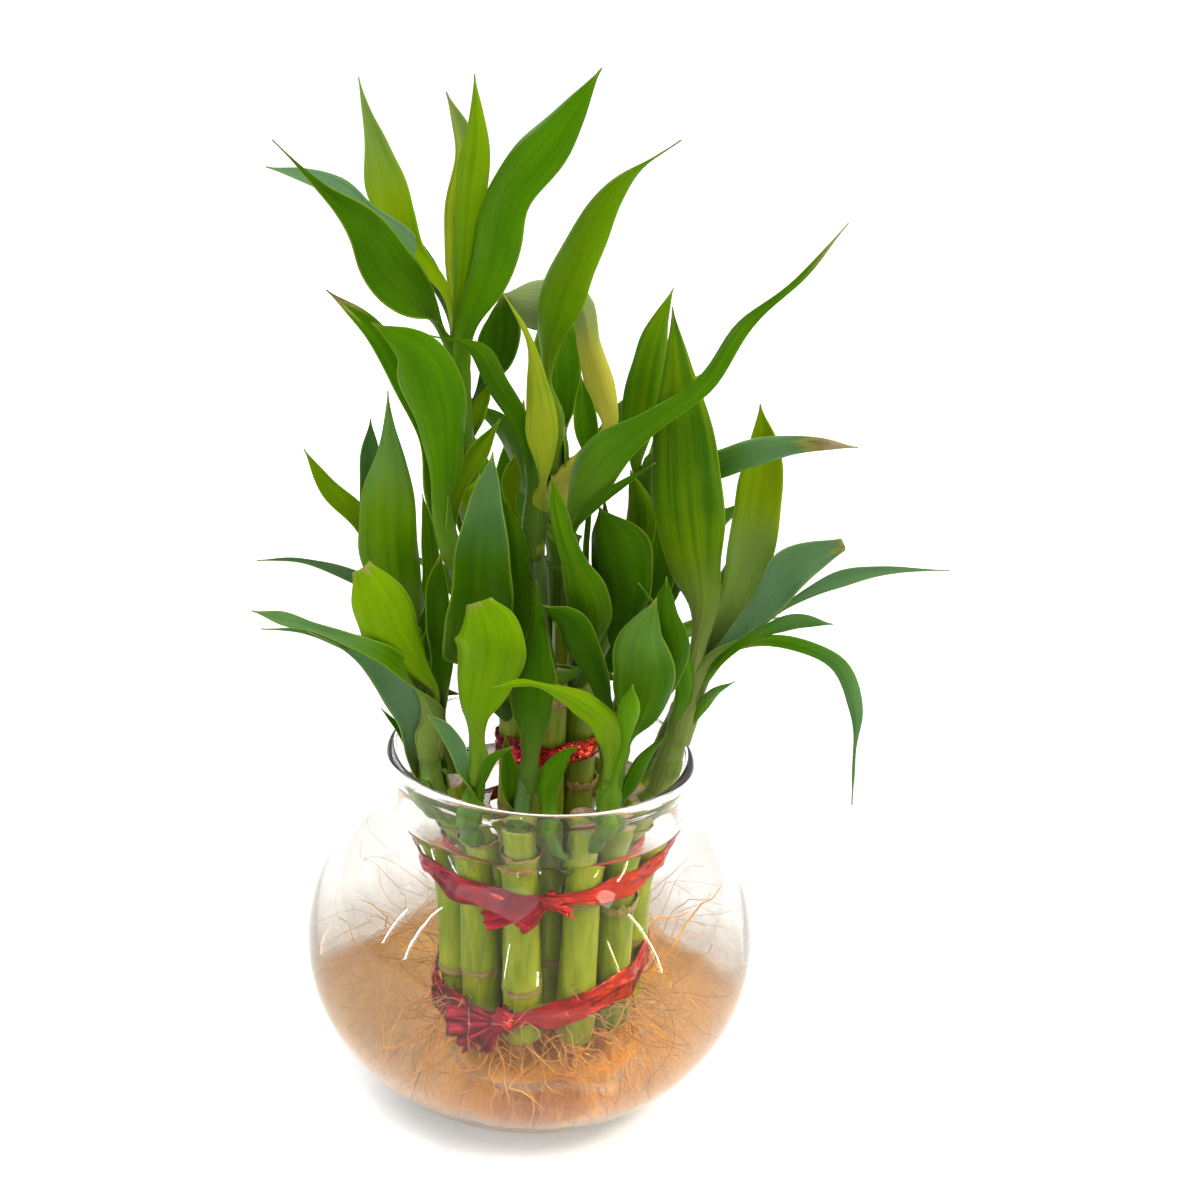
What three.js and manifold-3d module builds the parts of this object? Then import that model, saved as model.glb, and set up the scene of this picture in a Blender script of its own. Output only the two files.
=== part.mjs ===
// Lucky bamboo: tied stalks in two tiers, standing on their root mat in a round glass vase of water.
// Millimetres, +Z up. The origin is the middle of the vase's foot and the front of the plant faces -Y.
import * as THREE from "three";
import { mergeVertices } from "three/addons/utils/BufferGeometryUtils.js";
import Module from "manifold-3d";

const wasm = await Module();
wasm.setup();

// Driving dimensions of the vase
const BOWL_RADIUS = 65;
const BOWL_HALF_HEIGHT = 54;
const BOWL_MIDDLE_Z = 47.5;
const GLASS = 2;
const FLOOR_THICKNESS = 3.2;
const NECK_RADIUS = 42.4;
const NECK_FOOT_Z = 91;
const LIP_RADIUS = 44;
const RIM_Z = 107;
const VASE_SIDES = 32;

// Driving dimensions of the water and of the clearance kept between touching pieces
const WATER_Z = 90.2;
const CLEARANCE = 0.3;

// Driving dimensions of the stalks
const CANE_RADIUS = 4.7;
const CANE_SIDES = 8;
const CANE_FOOT_Z = 29.5;
const OUTER_FOOT_RING = 17;
const OUTER_TOP_RING = 28;
const INNER_FOOT_RING = 8.4;
const INNER_TOP_RING = 10.5;
const INNER_TOP_Z = 140;
const BUNDLE_FOOT_X = 3.2;
const BUNDLE_TOP_X = 0.5;
const NODE_SWELL = 0.25;
const NODE_HALF_HEIGHT = 1.4;
const INTERNODE = 41;
const JOINT_MARGIN = 6;

// Driving dimensions of the leaves
const BLADE_THICKNESS = 0.8;
const BLADE_STEPS = 7;
const NARROW_LEAF = 7;
const STEM_SIDES = 5;
const STEM_RADIUS = 3;

// Driving dimensions of the foil ribbons
const UPPER_RIBBON_WIDTH = 9;
const LOWER_RIBBON_WIDTH = 8;
const INNER_RIBBON_WIDTH = 7;
const RIBBON_THICKNESS = 0.8;

const degrees = Math.PI / 180;

// Finishes, read from the plant's own colours
const glassFinish = { color: 0xe9eef0, roughness: 0.03, metalness: 0, transparent: true, opacity: 0.3 };
const waterFinish = { color: 0xe6d9c4, roughness: 0.02, metalness: 0, transparent: true, opacity: 0.5 };
const stalkFinish = { color: 0x5f8f1e, roughness: 0.45, metalness: 0 };
const innerStalkFinish = { color: 0x4c8a1c, roughness: 0.42, metalness: 0 };
const rootFinish = { color: 0xb9702a, roughness: 0.8, metalness: 0 };
const ribbonFinish = { color: 0xb3122c, roughness: 0.25, metalness: 0.85 };

const group = new THREE.Group();

// Solids from three.js geometry, and back again
function solidOf(geometry) {
  const bare = geometry.clone();
  bare.deleteAttribute("normal");
  bare.deleteAttribute("uv");
  const merged = mergeVertices(bare, 1e-4);
  return new wasm.Manifold(
    new wasm.Mesh({
      numProp: 3,
      vertProperties: new Float32Array(merged.attributes.position.array),
      triVerts: new Uint32Array(merged.index.array),
    }),
  );
}

function geometryOf(solid) {
  const mesh = solid.getMesh();
  const geometry = new THREE.BufferGeometry();
  geometry.setAttribute("position", new THREE.BufferAttribute(mesh.vertProperties, 3));
  geometry.setIndex(new THREE.BufferAttribute(mesh.triVerts, 1));
  geometry.computeVertexNormals();
  return geometry;
}

function joined(solids) {
  return wasm.Manifold.union(solids).simplify(0.06);
}

function addPiece(name, geometry, finish) {
  const mesh = new THREE.Mesh(geometry, new THREE.MeshStandardMaterial(finish));
  mesh.name = name;
  group.add(mesh);
}

function turned(profile, sides) {
  const points = profile.map(([radius, z]) => new THREE.Vector2(radius, z));
  return new THREE.LatheGeometry(points, sides).rotateX(Math.PI / 2);
}

// A point of the bowl's ellipse at a height, drawn in by a wall thickness
function bowlRadius(z, inset) {
  const rise = (z - BOWL_MIDDLE_Z) / (BOWL_HALF_HEIGHT - inset);
  return (BOWL_RADIUS - inset) * Math.sqrt(Math.max(0, 1 - rise * rise));
}

function bowlProfile(fromZ, toZ, inset, steps) {
  const profile = [];
  for (let i = 0; i <= steps; i += 1) {
    const swing = THREE.MathUtils.lerp(
      Math.asin((fromZ - BOWL_MIDDLE_Z) / (BOWL_HALF_HEIGHT - inset)),
      Math.asin((toZ - BOWL_MIDDLE_Z) / (BOWL_HALF_HEIGHT - inset)),
      i / steps,
    );
    const z = BOWL_MIDDLE_Z + (BOWL_HALF_HEIGHT - inset) * Math.sin(swing);
    profile.push([bowlRadius(z, inset), z]);
  }
  return profile;
}

// The vase: a round bowl on a flat foot, a short upright neck and a thick rolled lip
function makeVase() {
  const shoulderZ = 86.5;
  const innerNeck = NECK_RADIUS - GLASS;
  const outside = [[0, 0], ...bowlProfile(0, shoulderZ, 0, 10), [NECK_RADIUS, NECK_FOOT_Z]];
  const neck = [
    [NECK_RADIUS, RIM_Z - 4.5],
    [LIP_RADIUS - 0.4, RIM_Z - 3],
    [LIP_RADIUS, RIM_Z - 1.4],
    [LIP_RADIUS - 0.8, RIM_Z],
    [innerNeck + 0.9, RIM_Z],
    [innerNeck, RIM_Z - 1.6],
    [innerNeck, NECK_FOOT_Z - 0.6],
  ];
  const inside = bowlProfile(FLOOR_THICKNESS, shoulderZ - 1, GLASS, 8).reverse();
  const profile = [...outside, ...neck, ...inside, [0, FLOOR_THICKNESS]];
  addPiece("glass_vase", turned(profile, VASE_SIDES), glassFinish);
}

// The water: it fills the bowl, with one plain hole for the tied bundle and its root mat
const ROOT_HOLLOW_RADIUS = 45;
const ROOT_HOLLOW_TOP = 47;
const ROOT_HOLLOW_FLOOR = 5;
const BUNDLE_HOLE_RADIUS = 38;

function makeWater() {
  const inset = GLASS + 2 * CLEARANCE;
  const bottom = FLOOR_THICKNESS + CLEARANCE;
  const shoulderZ = 85;
  const surfaceRadius = NECK_RADIUS - GLASS - CLEARANCE;
  const outside = [[0, bottom], ...bowlProfile(bottom, shoulderZ, inset, 8), [surfaceRadius, WATER_Z]];
  const hollow = [
    [BUNDLE_HOLE_RADIUS, WATER_Z],
    [BUNDLE_HOLE_RADIUS - 1, ROOT_HOLLOW_TOP],
    [ROOT_HOLLOW_RADIUS, ROOT_HOLLOW_TOP - 8],
    [ROOT_HOLLOW_RADIUS, ROOT_HOLLOW_FLOOR + 15],
    [ROOT_HOLLOW_RADIUS - 5, ROOT_HOLLOW_FLOOR + 5],
    [ROOT_HOLLOW_RADIUS - 17, ROOT_HOLLOW_FLOOR],
    [0, ROOT_HOLLOW_FLOOR],
  ];
  addPiece("water", turned([...outside, ...hollow], VASE_SIDES), waterFinish);
}

// The root mat: a flat cushion under the stalks with thick roots that arch out and curl along the floor
const ROOT_CORE_RADIUS = 22;
const ROOT_CORE_TOP = CANE_FOOT_Z - 3 * CLEARANCE;
const ROOT_CORE_BOTTOM = 17;
const ROOT_COUNT = 20;
const ROOT_RADIUS = 0.9;

function seededRandom(seed) {
  let state = seed;
  return () => {
    state = (state * 16807) % 2147483647;
    return state / 2147483647;
  };
}

function tube(points, radius, sides, steps) {
  const section = new THREE.Shape();
  for (let i = 0; i < sides; i += 1) {
    const turn = (i / sides) * 2 * Math.PI;
    const x = radius * Math.cos(turn);
    const y = radius * Math.sin(turn);
    if (i === 0) section.moveTo(x, y);
    else section.lineTo(x, y);
  }
  section.closePath();
  return new THREE.ExtrudeGeometry(section, {
    extrudePath: new THREE.CatmullRomCurve3(points),
    steps,
    bevelEnabled: false,
  });
}

function polar(radius, angle, z) {
  return new THREE.Vector3(radius * Math.sin(angle), -radius * Math.cos(angle), z);
}

function makeRootMat() {
  const random = seededRandom(37);
  const core = [
    [0, ROOT_CORE_BOTTOM],
    [ROOT_CORE_RADIUS - 8, ROOT_CORE_BOTTOM],
    [ROOT_CORE_RADIUS, ROOT_CORE_BOTTOM + 5],
    [ROOT_CORE_RADIUS, ROOT_CORE_TOP - 2],
    [ROOT_CORE_RADIUS - 2, ROOT_CORE_TOP],
    [0, ROOT_CORE_TOP],
  ];
  const solids = [solidOf(turned(core, 14))];
  for (let i = 0; i < ROOT_COUNT; i += 1) {
    const angle = ((i + 0.6 * random()) / ROOT_COUNT) * 2 * Math.PI;
    const reach = 30 + 11 * random();
    const lift = 18 + 8 * random();
    const swing = 0.3 * (random() - 0.5);
    const points = [
      polar(ROOT_CORE_RADIUS - 8, angle, ROOT_CORE_TOP - 7),
      polar(ROOT_CORE_RADIUS + 5, angle + swing, lift),
      polar(reach, angle + 1.5 * swing, lift - 4),
      polar(reach - 5, angle + 2.5 * swing, 12),
      polar(reach - 14, angle + 3.5 * swing, ROOT_HOLLOW_FLOOR + 1.6),
    ];
    solids.push(solidOf(tube(points, ROOT_RADIUS, 4, 6)));
  }
  addPiece("root_mat", geometryOf(joined(solids)), rootFinish);
}

// A cane: a straight jointed culm, cut square at the top, from its foot to its top
function cane(foot, top, joints) {
  const length = top.distanceTo(foot);
  const profile = [[0, 0], [CANE_RADIUS - 0.4, 0]];
  for (const z of joints) {
    profile.push([CANE_RADIUS - NODE_SWELL, z - NODE_HALF_HEIGHT]);
    profile.push([CANE_RADIUS + NODE_SWELL, z]);
  }
  profile.push([CANE_RADIUS - 0.4, length]);
  profile.push([0, length]);
  const aim = new THREE.Quaternion().setFromUnitVectors(
    new THREE.Vector3(0, 0, 1),
    top.clone().sub(foot).normalize(),
  );
  const place = new THREE.Matrix4().compose(foot, aim, new THREE.Vector3(1, 1, 1));
  return solidOf(turned(profile, CANE_SIDES).applyMatrix4(place));
}

// A leaf's share of its full width along its length: read off its own outline, which is given in
// hundredths at even steps from foot to tip, or else that of a lancet, widest at the share given by widest
function widthShare(along, { shape, widest = 0.42, blunt = false }) {
  if (shape) {
    const place = along * (shape.length - 1);
    const step = Math.min(Math.floor(place), shape.length - 2);
    return THREE.MathUtils.lerp(shape[step], shape[step + 1], place - step) / 100;
  }
  const rise = Math.pow(along / widest, widest * 1.9);
  const fall = Math.pow((1 - along) / (1 - widest), (1 - widest) * (blunt ? 0.9 : 1.9));
  return Math.max(rise * fall, 0);
}

// The sideways direction of a blade at each of its steps. It is set where the blade is full, at the share
// SET_SHARE of its length, and carried on from there to its foot and to its tip.
const SET_SHARE = 0.4;

function bladeSides(tangents, face) {
  const facing = new THREE.Vector3(Math.sin(face * degrees), -Math.cos(face * degrees), 0.15);
  const last = tangents.length - 1;
  const set = Math.round(SET_SHARE * last);
  const carried = (side, tangent) => side.clone().addScaledVector(tangent, -side.dot(tangent)).normalize();
  const sides = [];
  sides[set] = new THREE.Vector3().crossVectors(tangents[set], facing).normalize();
  for (let i = set + 1; i <= last; i += 1) sides[i] = carried(sides[i - 1], tangents[i]);
  for (let i = set - 1; i >= 0; i -= 1) sides[i] = carried(sides[i + 1], tangents[i]);
  return sides;
}

// A blade: a thin closed strip along a curve through the points, troughed along its midrib.
// face is the compass direction, from the front towards +X, that its upper side looks to at the root,
// and twist is how far it turns about its midrib on the way to the tip.
function blade(points, leaf) {
  const { width, face = 0, twist = 0, trough = 0.28, wave = 0.05 } = leaf;
  const shares = width < NARROW_LEAF ? [-1, 1] : [-1, 0, 1];
  const curve = new THREE.CatmullRomCurve3(points);
  const steps = Array.from({ length: BLADE_STEPS + 1 }, (_, i) => Math.pow(i / BLADE_STEPS, 0.9));
  const tangents = steps.map((along) => curve.getTangentAt(along));
  const sides = bladeSides(tangents, face);
  const positions = [];
  for (const [i, along] of steps.entries()) {
    const middle = curve.getPointAt(along);
    const side = sides[i].applyAxisAngle(tangents[i], twist * degrees * along);
    const up = new THREE.Vector3().crossVectors(side, tangents[i]).normalize();
    const root = THREE.MathUtils.lerp(3.4, 1.1, along);
    const half = Math.max(width * widthShare(along, leaf), root) / 2;
    for (const share of shares) {
      const ripple = wave * width * Math.sin(9 * along + (share > 0 ? 2 : 0)) * Math.abs(share);
      const lift = trough * half * Math.abs(share) + ripple;
      const spot = middle.clone().addScaledVector(side, half * share).addScaledVector(up, lift);
      for (const skin of [-0.5, 0.5]) {
        const point = spot.clone().addScaledVector(up, skin * BLADE_THICKNESS);
        positions.push(point.x, point.y, point.z);
      }
    }
  }
  return bladeGeometry(positions, shares.length - 1);
}

// Both faces of a blade are split into triangles alike, and walls close its edges and ends
function bladeGeometry(positions, columns) {
  const index = [];
  const vertex = (step, column, skin) => (step * (columns + 1) + column) * 2 + skin;
  const quad = (a, b, c, d) => index.push(a, b, c, a, c, d);
  for (let i = 0; i < BLADE_STEPS; i += 1) {
    for (let column = 0; column < columns; column += 1) {
      const [a, b] = [vertex(i, column, 0), vertex(i, column + 1, 0)];
      const [c, d] = [vertex(i + 1, column + 1, 0), vertex(i + 1, column, 0)];
      index.push(a, b, c, a, c, d);
      index.push(a + 1, c + 1, b + 1, a + 1, d + 1, c + 1);
    }
    quad(vertex(i, 0, 0), vertex(i + 1, 0, 0), vertex(i + 1, 0, 1), vertex(i, 0, 1));
    quad(vertex(i, columns, 0), vertex(i, columns, 1), vertex(i + 1, columns, 1), vertex(i + 1, columns, 0));
  }
  const last = BLADE_STEPS;
  for (let column = 0; column < columns; column += 1) {
    quad(vertex(0, column, 0), vertex(0, column, 1), vertex(0, column + 1, 1), vertex(0, column + 1, 0));
    const next = column + 1;
    quad(vertex(last, column, 0), vertex(last, next, 0), vertex(last, next, 1), vertex(last, column, 1));
  }
  const geometry = new THREE.BufferGeometry();
  geometry.setAttribute("position", new THREE.Float32BufferAttribute(positions, 3));
  geometry.setIndex(index);
  return geometry;
}

function solidBlade(points, leaf) {
  const solid = solidOf(blade(points, leaf));
  return solid.volume() < 0 ? solidOf(flipped(blade(points, leaf))) : solid;
}

function flipped(geometry) {
  const index = geometry.index.array;
  for (let i = 0; i < index.length; i += 3) [index[i + 1], index[i + 2]] = [index[i + 2], index[i + 1]];
  return geometry;
}

// A leafy shoot: a round stem through its points, with each leaf rooted at a share of the stem's length
const vector = ([x, y, z]) => new THREE.Vector3(x, y, z);

function shootSolids(shoot) {
  const stem = shoot.stem.map(vector);
  const curve = new THREE.CatmullRomCurve3(stem);
  const solids = [solidOf(tube(stem, shoot.radius ?? STEM_RADIUS, STEM_SIDES, stem.length + 2))];
  shoot.leaves.forEach((leaf, order) => {
    const root = curve.getPointAt(leaf.from ?? 0.97 - 0.035 * order);
    solids.push(solidBlade([root, ...leaf.via.map(vector)], leaf));
  });
  return solids;
}

// A leaf of the side away from the viewer, given by the way it grows out instead of by its points
function arching({ azimuth, root, reach, rise, droop = 0, ...rest }) {
  const out = new THREE.Vector3(Math.sin(azimuth * degrees), -Math.cos(azimuth * degrees), 0);
  const via = [0.34, 0.67, 1].map((share) => {
    const point = vector(root).addScaledVector(out, reach * Math.pow(share, 1.25));
    return [point.x, point.y, point.z + rise * share - droop * share * share];
  });
  return { via, face: azimuth + 180, ...rest };
}

// The outer tier: short canes round the bundle. Each has the compass angle of its top and of its foot,
// from the front towards +X, the heights of its top and of its main joint, and the shoots that grew from it.
const outerTier = [
  {
    name: "stalk_front_left",
    angle: -42,
    footAngle: -47,
    top: 97,
    joint: 86,
    shoots: [
      {
        stem: [[-16.5, -19, 82], [-18, -25, 94], [-17, -29, 107], [-16.5, -31, 119]],
        leaves: [
          {
            via: [
              [-18.5, -33.5, 125.5], [-17.5, -36.5, 135.5], [-15.5, -38.5, 145.5],
              [-15, -40, 156], [-18.5, -38, 165],
            ],
            width: 18.5, shape: [23, 24, 35, 56, 81, 98, 100, 79, 36],
          },
          {
            from: 0.3,
            via: [
              [-17, -28, 99.5], [-16.5, -31.5, 106.5], [-15, -35, 113.5],
              [-12.5, -38, 120.5], [-7.5, -40, 125.5],
            ],
            width: 3, shape: [61, 61, 61, 61, 61, 82, 100, 74, 0],
          },
          {
            from: 0.6,
            via: [
              [-19, -31, 110], [-21, -33.5, 116.5], [-23, -36, 123],
              [-26, -38.5, 129], [-30.5, -41, 133.5],
            ],
            width: 4.5, shape: [93, 93, 93, 93, 93, 100, 87, 59, 0], face: 20,
          },
        ],
      },
    ],
  },
  {
    name: "stalk_front",
    angle: -13,
    footAngle: -12,
    top: 98,
    joint: 84,
    shoots: [
      {
        stem: [[-5, -22, 84], [-4.5, -27, 95], [-4, -29, 106], [-3.5, -29.5, 116]],
        leaves: [
          {
            via: [
              [-1, -30.5, 123.5], [-3, -31.5, 134.5], [-3, -31.5, 145.5],
              [-3, -30, 157], [-4, -27, 168],
            ],
            width: 11.5, shape: [20, 54, 82, 100, 99, 72, 41, 18, 0],
          },
          { from: 0.5, via: [[-8, -29, 112], [-10, -28, 123]], width: 5 },
        ],
      },
    ],
  },
  {
    name: "stalk_front_right",
    angle: 25,
    footAngle: 28,
    top: 99,
    joint: 70,
    shoots: [
      {
        radius: 2,
        stem: [[9, -24.5, 82], [6.5, -28, 88], [4.5, -30, 95], [3.5, -30.5, 101]],
        leaves: [
          {
            via: [[2, -31, 105.5], [2.5, -31, 110.5], [4, -32, 115.5], [6.5, -33, 120.5], [10, -34, 124]],
            width: 6, shape: [87, 87, 87, 99, 100, 91, 64, 34, 0],
          },
        ],
      },
      {
        stem: [[13, -22, 84], [17, -28, 95], [19, -31, 106], [20, -32, 117]],
        leaves: [
          {
            via: [
              [19, -35.5, 124.5], [16.5, -39, 133], [10.5, -42.5, 139.5],
              [3.5, -46, 144.5], [-5, -50, 148], [-13.5, -54, 148],
            ],
            width: 8, shape: [75, 100, 98, 84, 82, 51, 17, 23, 0], face: 20,
          },
          {
            via: [[23, -34.5, 125], [25, -37, 136], [25.5, -39, 147], [24.5, -40, 158], [27.5, -38, 169]],
            width: 16.5, shape: [12, 12, 19, 66, 96, 100, 81, 43, 0],
          },
          { from: 0.6, via: [[28, -36, 123], [33, -39, 131]], width: 4 },
          {
            from: 0.8,
            via: [
              [20.5, -35.5, 117], [21.5, -40, 124.5], [22, -43.5, 132],
              [22, -46.5, 140], [22.5, -48, 148.5],
            ],
            width: 5.5, shape: [34, 34, 34, 34, 34, 59, 100, 82, 0],
          },
        ],
      },
    ],
  },
  {
    name: "stalk_right_front",
    angle: 48,
    footAngle: 63,
    top: 96,
    joint: 64,
    shoots: [
      {
        stem: [[19.5, -17, 89], [21, -21, 96], [19, -22, 112], [18, -21, 122]],
        leaves: [
          {
            via: [
              [16.5, -23, 130.5], [14, -25, 139.5], [9.5, -27, 148.5],
              [5, -29, 157], [-2, -31, 162.5],
            ],
            width: 9.5, shape: [46, 46, 46, 67, 89, 100, 95, 69, 0], face: -20,
          },
          {
            via: [
              [24.5, -24.5, 129], [30.5, -28, 138.5], [33.5, -30.5, 149.5],
              [30.5, -31, 161], [30, -31, 172.5],
            ],
            width: 9, shape: [78, 78, 78, 78, 78, 100, 93, 58, 0], face: 10,
          },
        ],
      },
    ],
  },
  {
    name: "stalk_right",
    angle: 74,
    footAngle: 99,
    top: 98,
    joint: 88,
    shoots: [
      {
        radius: 3.2,
        stem: [[26, -5, 93], [32, -9, 98], [36.5, -11.5, 114], [41, -13, 139]],
        leaves: [
          {
            via: [
              [40.5, -16, 158.5], [36.5, -19.5, 179.5], [33, -23, 200],
              [30, -24, 221.5], [26.5, -22, 242],
            ],
            width: 18.5, shape: [15, 28, 61, 88, 100, 94, 72, 34, 0],
          },
          {
            from: 0.5,
            via: [
              [37.5, -16, 125], [38.5, -19.5, 136.5], [35.5, -22, 148],
              [30, -23.5, 158.5], [23, -25, 168],
            ],
            width: 6, shape: [82, 82, 82, 94, 100, 78, 49, 18, 0], face: 30,
          },
          {
            via: [
              [46, -17, 144.5], [55, -22, 152], [66.5, -27, 154], [77.5, -32, 150.5],
              [82.5, -36.5, 140], [83, -39.5, 127.5], [83.5, -42, 115],
            ],
            width: 4.5, shape: [79, 79, 64, 63, 77, 81, 100, 86, 26, 17, 0], face: -70,
          },
          {
            from: 0.45,
            via: [
              [38, -13, 117.5], [40.5, -15, 123.5], [43, -16.5, 129.5],
              [46.5, -18, 135], [51.5, -19, 139],
            ],
            width: 3.5, shape: [58, 58, 58, 58, 72, 100, 86, 50, 0],
          },
          {
            via: [
              [45, -14, 142], [52.5, -15, 153], [59.5, -17, 163.5],
              [66.5, -19.5, 174], [76.5, -23, 181.5],
            ],
            width: 11.5, shape: [27, 27, 27, 42, 62, 90, 100, 70, 31], face: -40,
          },
          {
            via: [
              [44, -16, 138], [48.5, -19.5, 147], [56, -22.5, 154.5],
              [65, -24, 159.5], [75.5, -26, 160],
            ],
            width: 4, shape: [59, 59, 59, 59, 64, 66, 100, 80, 0], face: -40,
          },
        ],
      },
    ],
  },
  {
    name: "stalk_right_back",
    angle: 106,
    footAngle: 134,
    top: 97,
    joint: 72,
    shoots: [
      {
        stem: [[25, 8, 88], [33, 5, 102], [40, 0, 122], [44, -4, 138]],
        leaves: [
          {
            via: [
              [49, -6, 151.5], [52.5, -8, 166.5], [54, -9, 182.5],
              [54.5, -8.5, 198.5], [52.5, -7, 214],
            ],
            width: 12.5, shape: [21, 64, 76, 89, 98, 100, 96, 60, 0],
          },
          {
            via: [[54, -5, 146], [64.5, -7, 157], [77, -9.5, 166], [91.5, -12, 171], [107, -14, 173]],
            width: 5, shape: [55, 55, 55, 37, 72, 100, 59, 22, 0], face: -60,
          },
          { via: [[54, 8, 150], [66, 16, 162], [80, 22, 166]], width: 9, face: -75 },
          { from: 0.6, via: [[40, 12, 130], [46, 20, 150], [56, 27, 168]], width: 12, face: -100 },
        ],
      },
    ],
  },
  {
    name: "stalk_back_right",
    angle: 145,
    footAngle: 169,
    top: 96,
    joint: 82,
    shoots: [
      {
        stem: [[14.5, 21, 84], [21, 26, 98], [25, 28, 114], [27, 29, 130]],
        leaves: [
          arching({ azimuth: 128, root: [27, 29, 130], reach: 38, rise: 52, droop: 14, width: 15 }),
          arching({ azimuth: 165, root: [27, 29, 130], reach: 26, rise: 58, width: 16 }),
          arching({
            azimuth: 105, root: [26, 28, 120], reach: 44, rise: 34, droop: 18, width: 10, from: 0.75,
          }),
          arching({
            azimuth: 190, root: [25, 28, 114], reach: 34, rise: 26, droop: 10, width: 9, from: 0.6,
          }),
        ],
      },
    ],
  },
  {
    name: "stalk_back_left",
    angle: 195,
    footAngle: 205,
    top: 97,
    joint: 66,
    shoots: [
      {
        stem: [[-6.5, 24.5, 84], [-9, 31, 98], [-12, 34, 114], [-14, 35, 130]],
        leaves: [
          arching({ azimuth: 200, root: [-14, 35, 130], reach: 34, rise: 56, droop: 8, width: 15 }),
          arching({ azimuth: 172, root: [-14, 35, 130], reach: 20, rise: 64, width: 15 }),
          arching({
            azimuth: 230, root: [-13, 34, 120], reach: 42, rise: 38, droop: 16, width: 10, from: 0.75,
          }),
          arching({
            azimuth: 160, root: [-12, 34, 114], reach: 34, rise: 28, droop: 12, width: 9, from: 0.6,
          }),
        ],
      },
    ],
  },
  {
    name: "stalk_left",
    angle: 243,
    footAngle: 241,
    top: 97,
    joint: 76,
    shoots: [
      {
        stem: [[-23, 10.5, 84], [-30, 9, 103], [-35, 5, 122], [-38, 2, 140]],
        leaves: [
          {
            via: [
              [-40, -2, 141], [-43.5, -5.5, 158.5], [-45, -9, 176],
              [-45, -10, 194], [-46, -8, 211.5],
            ],
            width: 16.5, shape: [11, 63, 86, 100, 93, 81, 50, 19, 0],
          },
          {
            via: [[-45, 4, 145.5], [-47.5, 5, 159], [-49.5, 5, 173], [-51, 4.5, 186.5], [-51.5, 4, 200]],
            width: 8, shape: [32, 46, 74, 90, 100, 96, 76, 59, 0],
          },
          {
            via: [
              [-40.5, 5, 147.5], [-46.5, 6, 159.5], [-53, 3.5, 171],
              [-62, 0, 181], [-68.5, -3, 192.5],
            ],
            width: 6, shape: [75, 75, 84, 91, 97, 100, 95, 56, 0], face: 15,
          },
          {
            via: [[-41.5, 1.5, 142.5], [-48, 0, 152], [-58, -2, 157.5], [-69, -4, 161], [-80.5, -6, 161]],
            width: 4, shape: [81, 81, 81, 100, 94, 74, 42, 25, 0], face: 50,
          },
          {
            from: 0.7,
            via: [
              [-31.5, 1.5, 108.5], [-28.5, -2, 100.5], [-30.5, -1, 115.5],
              [-31.5, -0.5, 131], [-33, 0, 146],
            ],
            width: 16.5, shape: [14, 14, 14, 28, 76, 100, 100, 65, 0], face: 70,
          },
          {
            from: 0.8,
            via: [
              [-35.5, 7.5, 137.5], [-34.5, 11.5, 146.5], [-34.5, 16, 155.5],
              [-36, 20.5, 164], [-38, 24, 173],
            ],
            width: 5, shape: [89, 89, 89, 89, 89, 100, 87, 48, 0], face: 10,
          },
        ],
      },
    ],
  },
  {
    name: "stalk_left_front",
    angle: -77,
    footAngle: -82,
    top: 98,
    joint: 80,
    shoots: [
      {
        radius: 3.6,
        stem: [[-24.5, -6.5, 84], [-29, -11, 96], [-31, -14, 110], [-30, -16, 124]],
        leaves: [
          {
            via: [
              [-35.5, -22, 134], [-42, -28.5, 144], [-52.5, -34.5, 151],
              [-64, -40, 157], [-76, -45, 161.5],
            ],
            width: 5.5, shape: [92, 92, 92, 100, 79, 57, 44, 66, 0], face: 40,
          },
          {
            via: [
              [-32.5, -13, 132.5], [-42.5, -16, 139], [-53.5, -20.5, 144.5],
              [-64.5, -25.5, 149], [-75.5, -31, 151],
            ],
            width: 6, shape: [80, 100, 94, 99, 95, 73, 40, 16, 0], face: 40,
          },
          {
            from: 0.3,
            via: [
              [-35, -12, 107.5], [-37, -14.5, 121], [-43, -17.5, 133],
              [-53, -21.5, 142], [-64, -26, 149],
            ],
            width: 9, shape: [63, 63, 71, 86, 100, 81, 28, 1, 0], face: 20,
          },
          {
            via: [
              [-29.5, -19, 130], [-34.5, -23.5, 140], [-40, -27.5, 149.5],
              [-44, -31.5, 160.5], [-49, -34, 171],
            ],
            width: 16, shape: [13, 13, 16, 32, 70, 99, 100, 79, 35], face: 25,
          },
          { from: 0.45, via: [[-38, -9, 111], [-45, -10, 121]], width: 3.5, face: 60 },
          {
            from: 0.85,
            via: [
              [-29, -14, 128], [-28.5, -13.5, 138.5], [-30, -14.5, 149],
              [-30.5, -15, 159.5], [-30, -16, 170],
            ],
            width: 6.5, shape: [84, 84, 84, 95, 98, 100, 96, 67, 0],
          },
        ],
      },
    ],
  },
];

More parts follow.
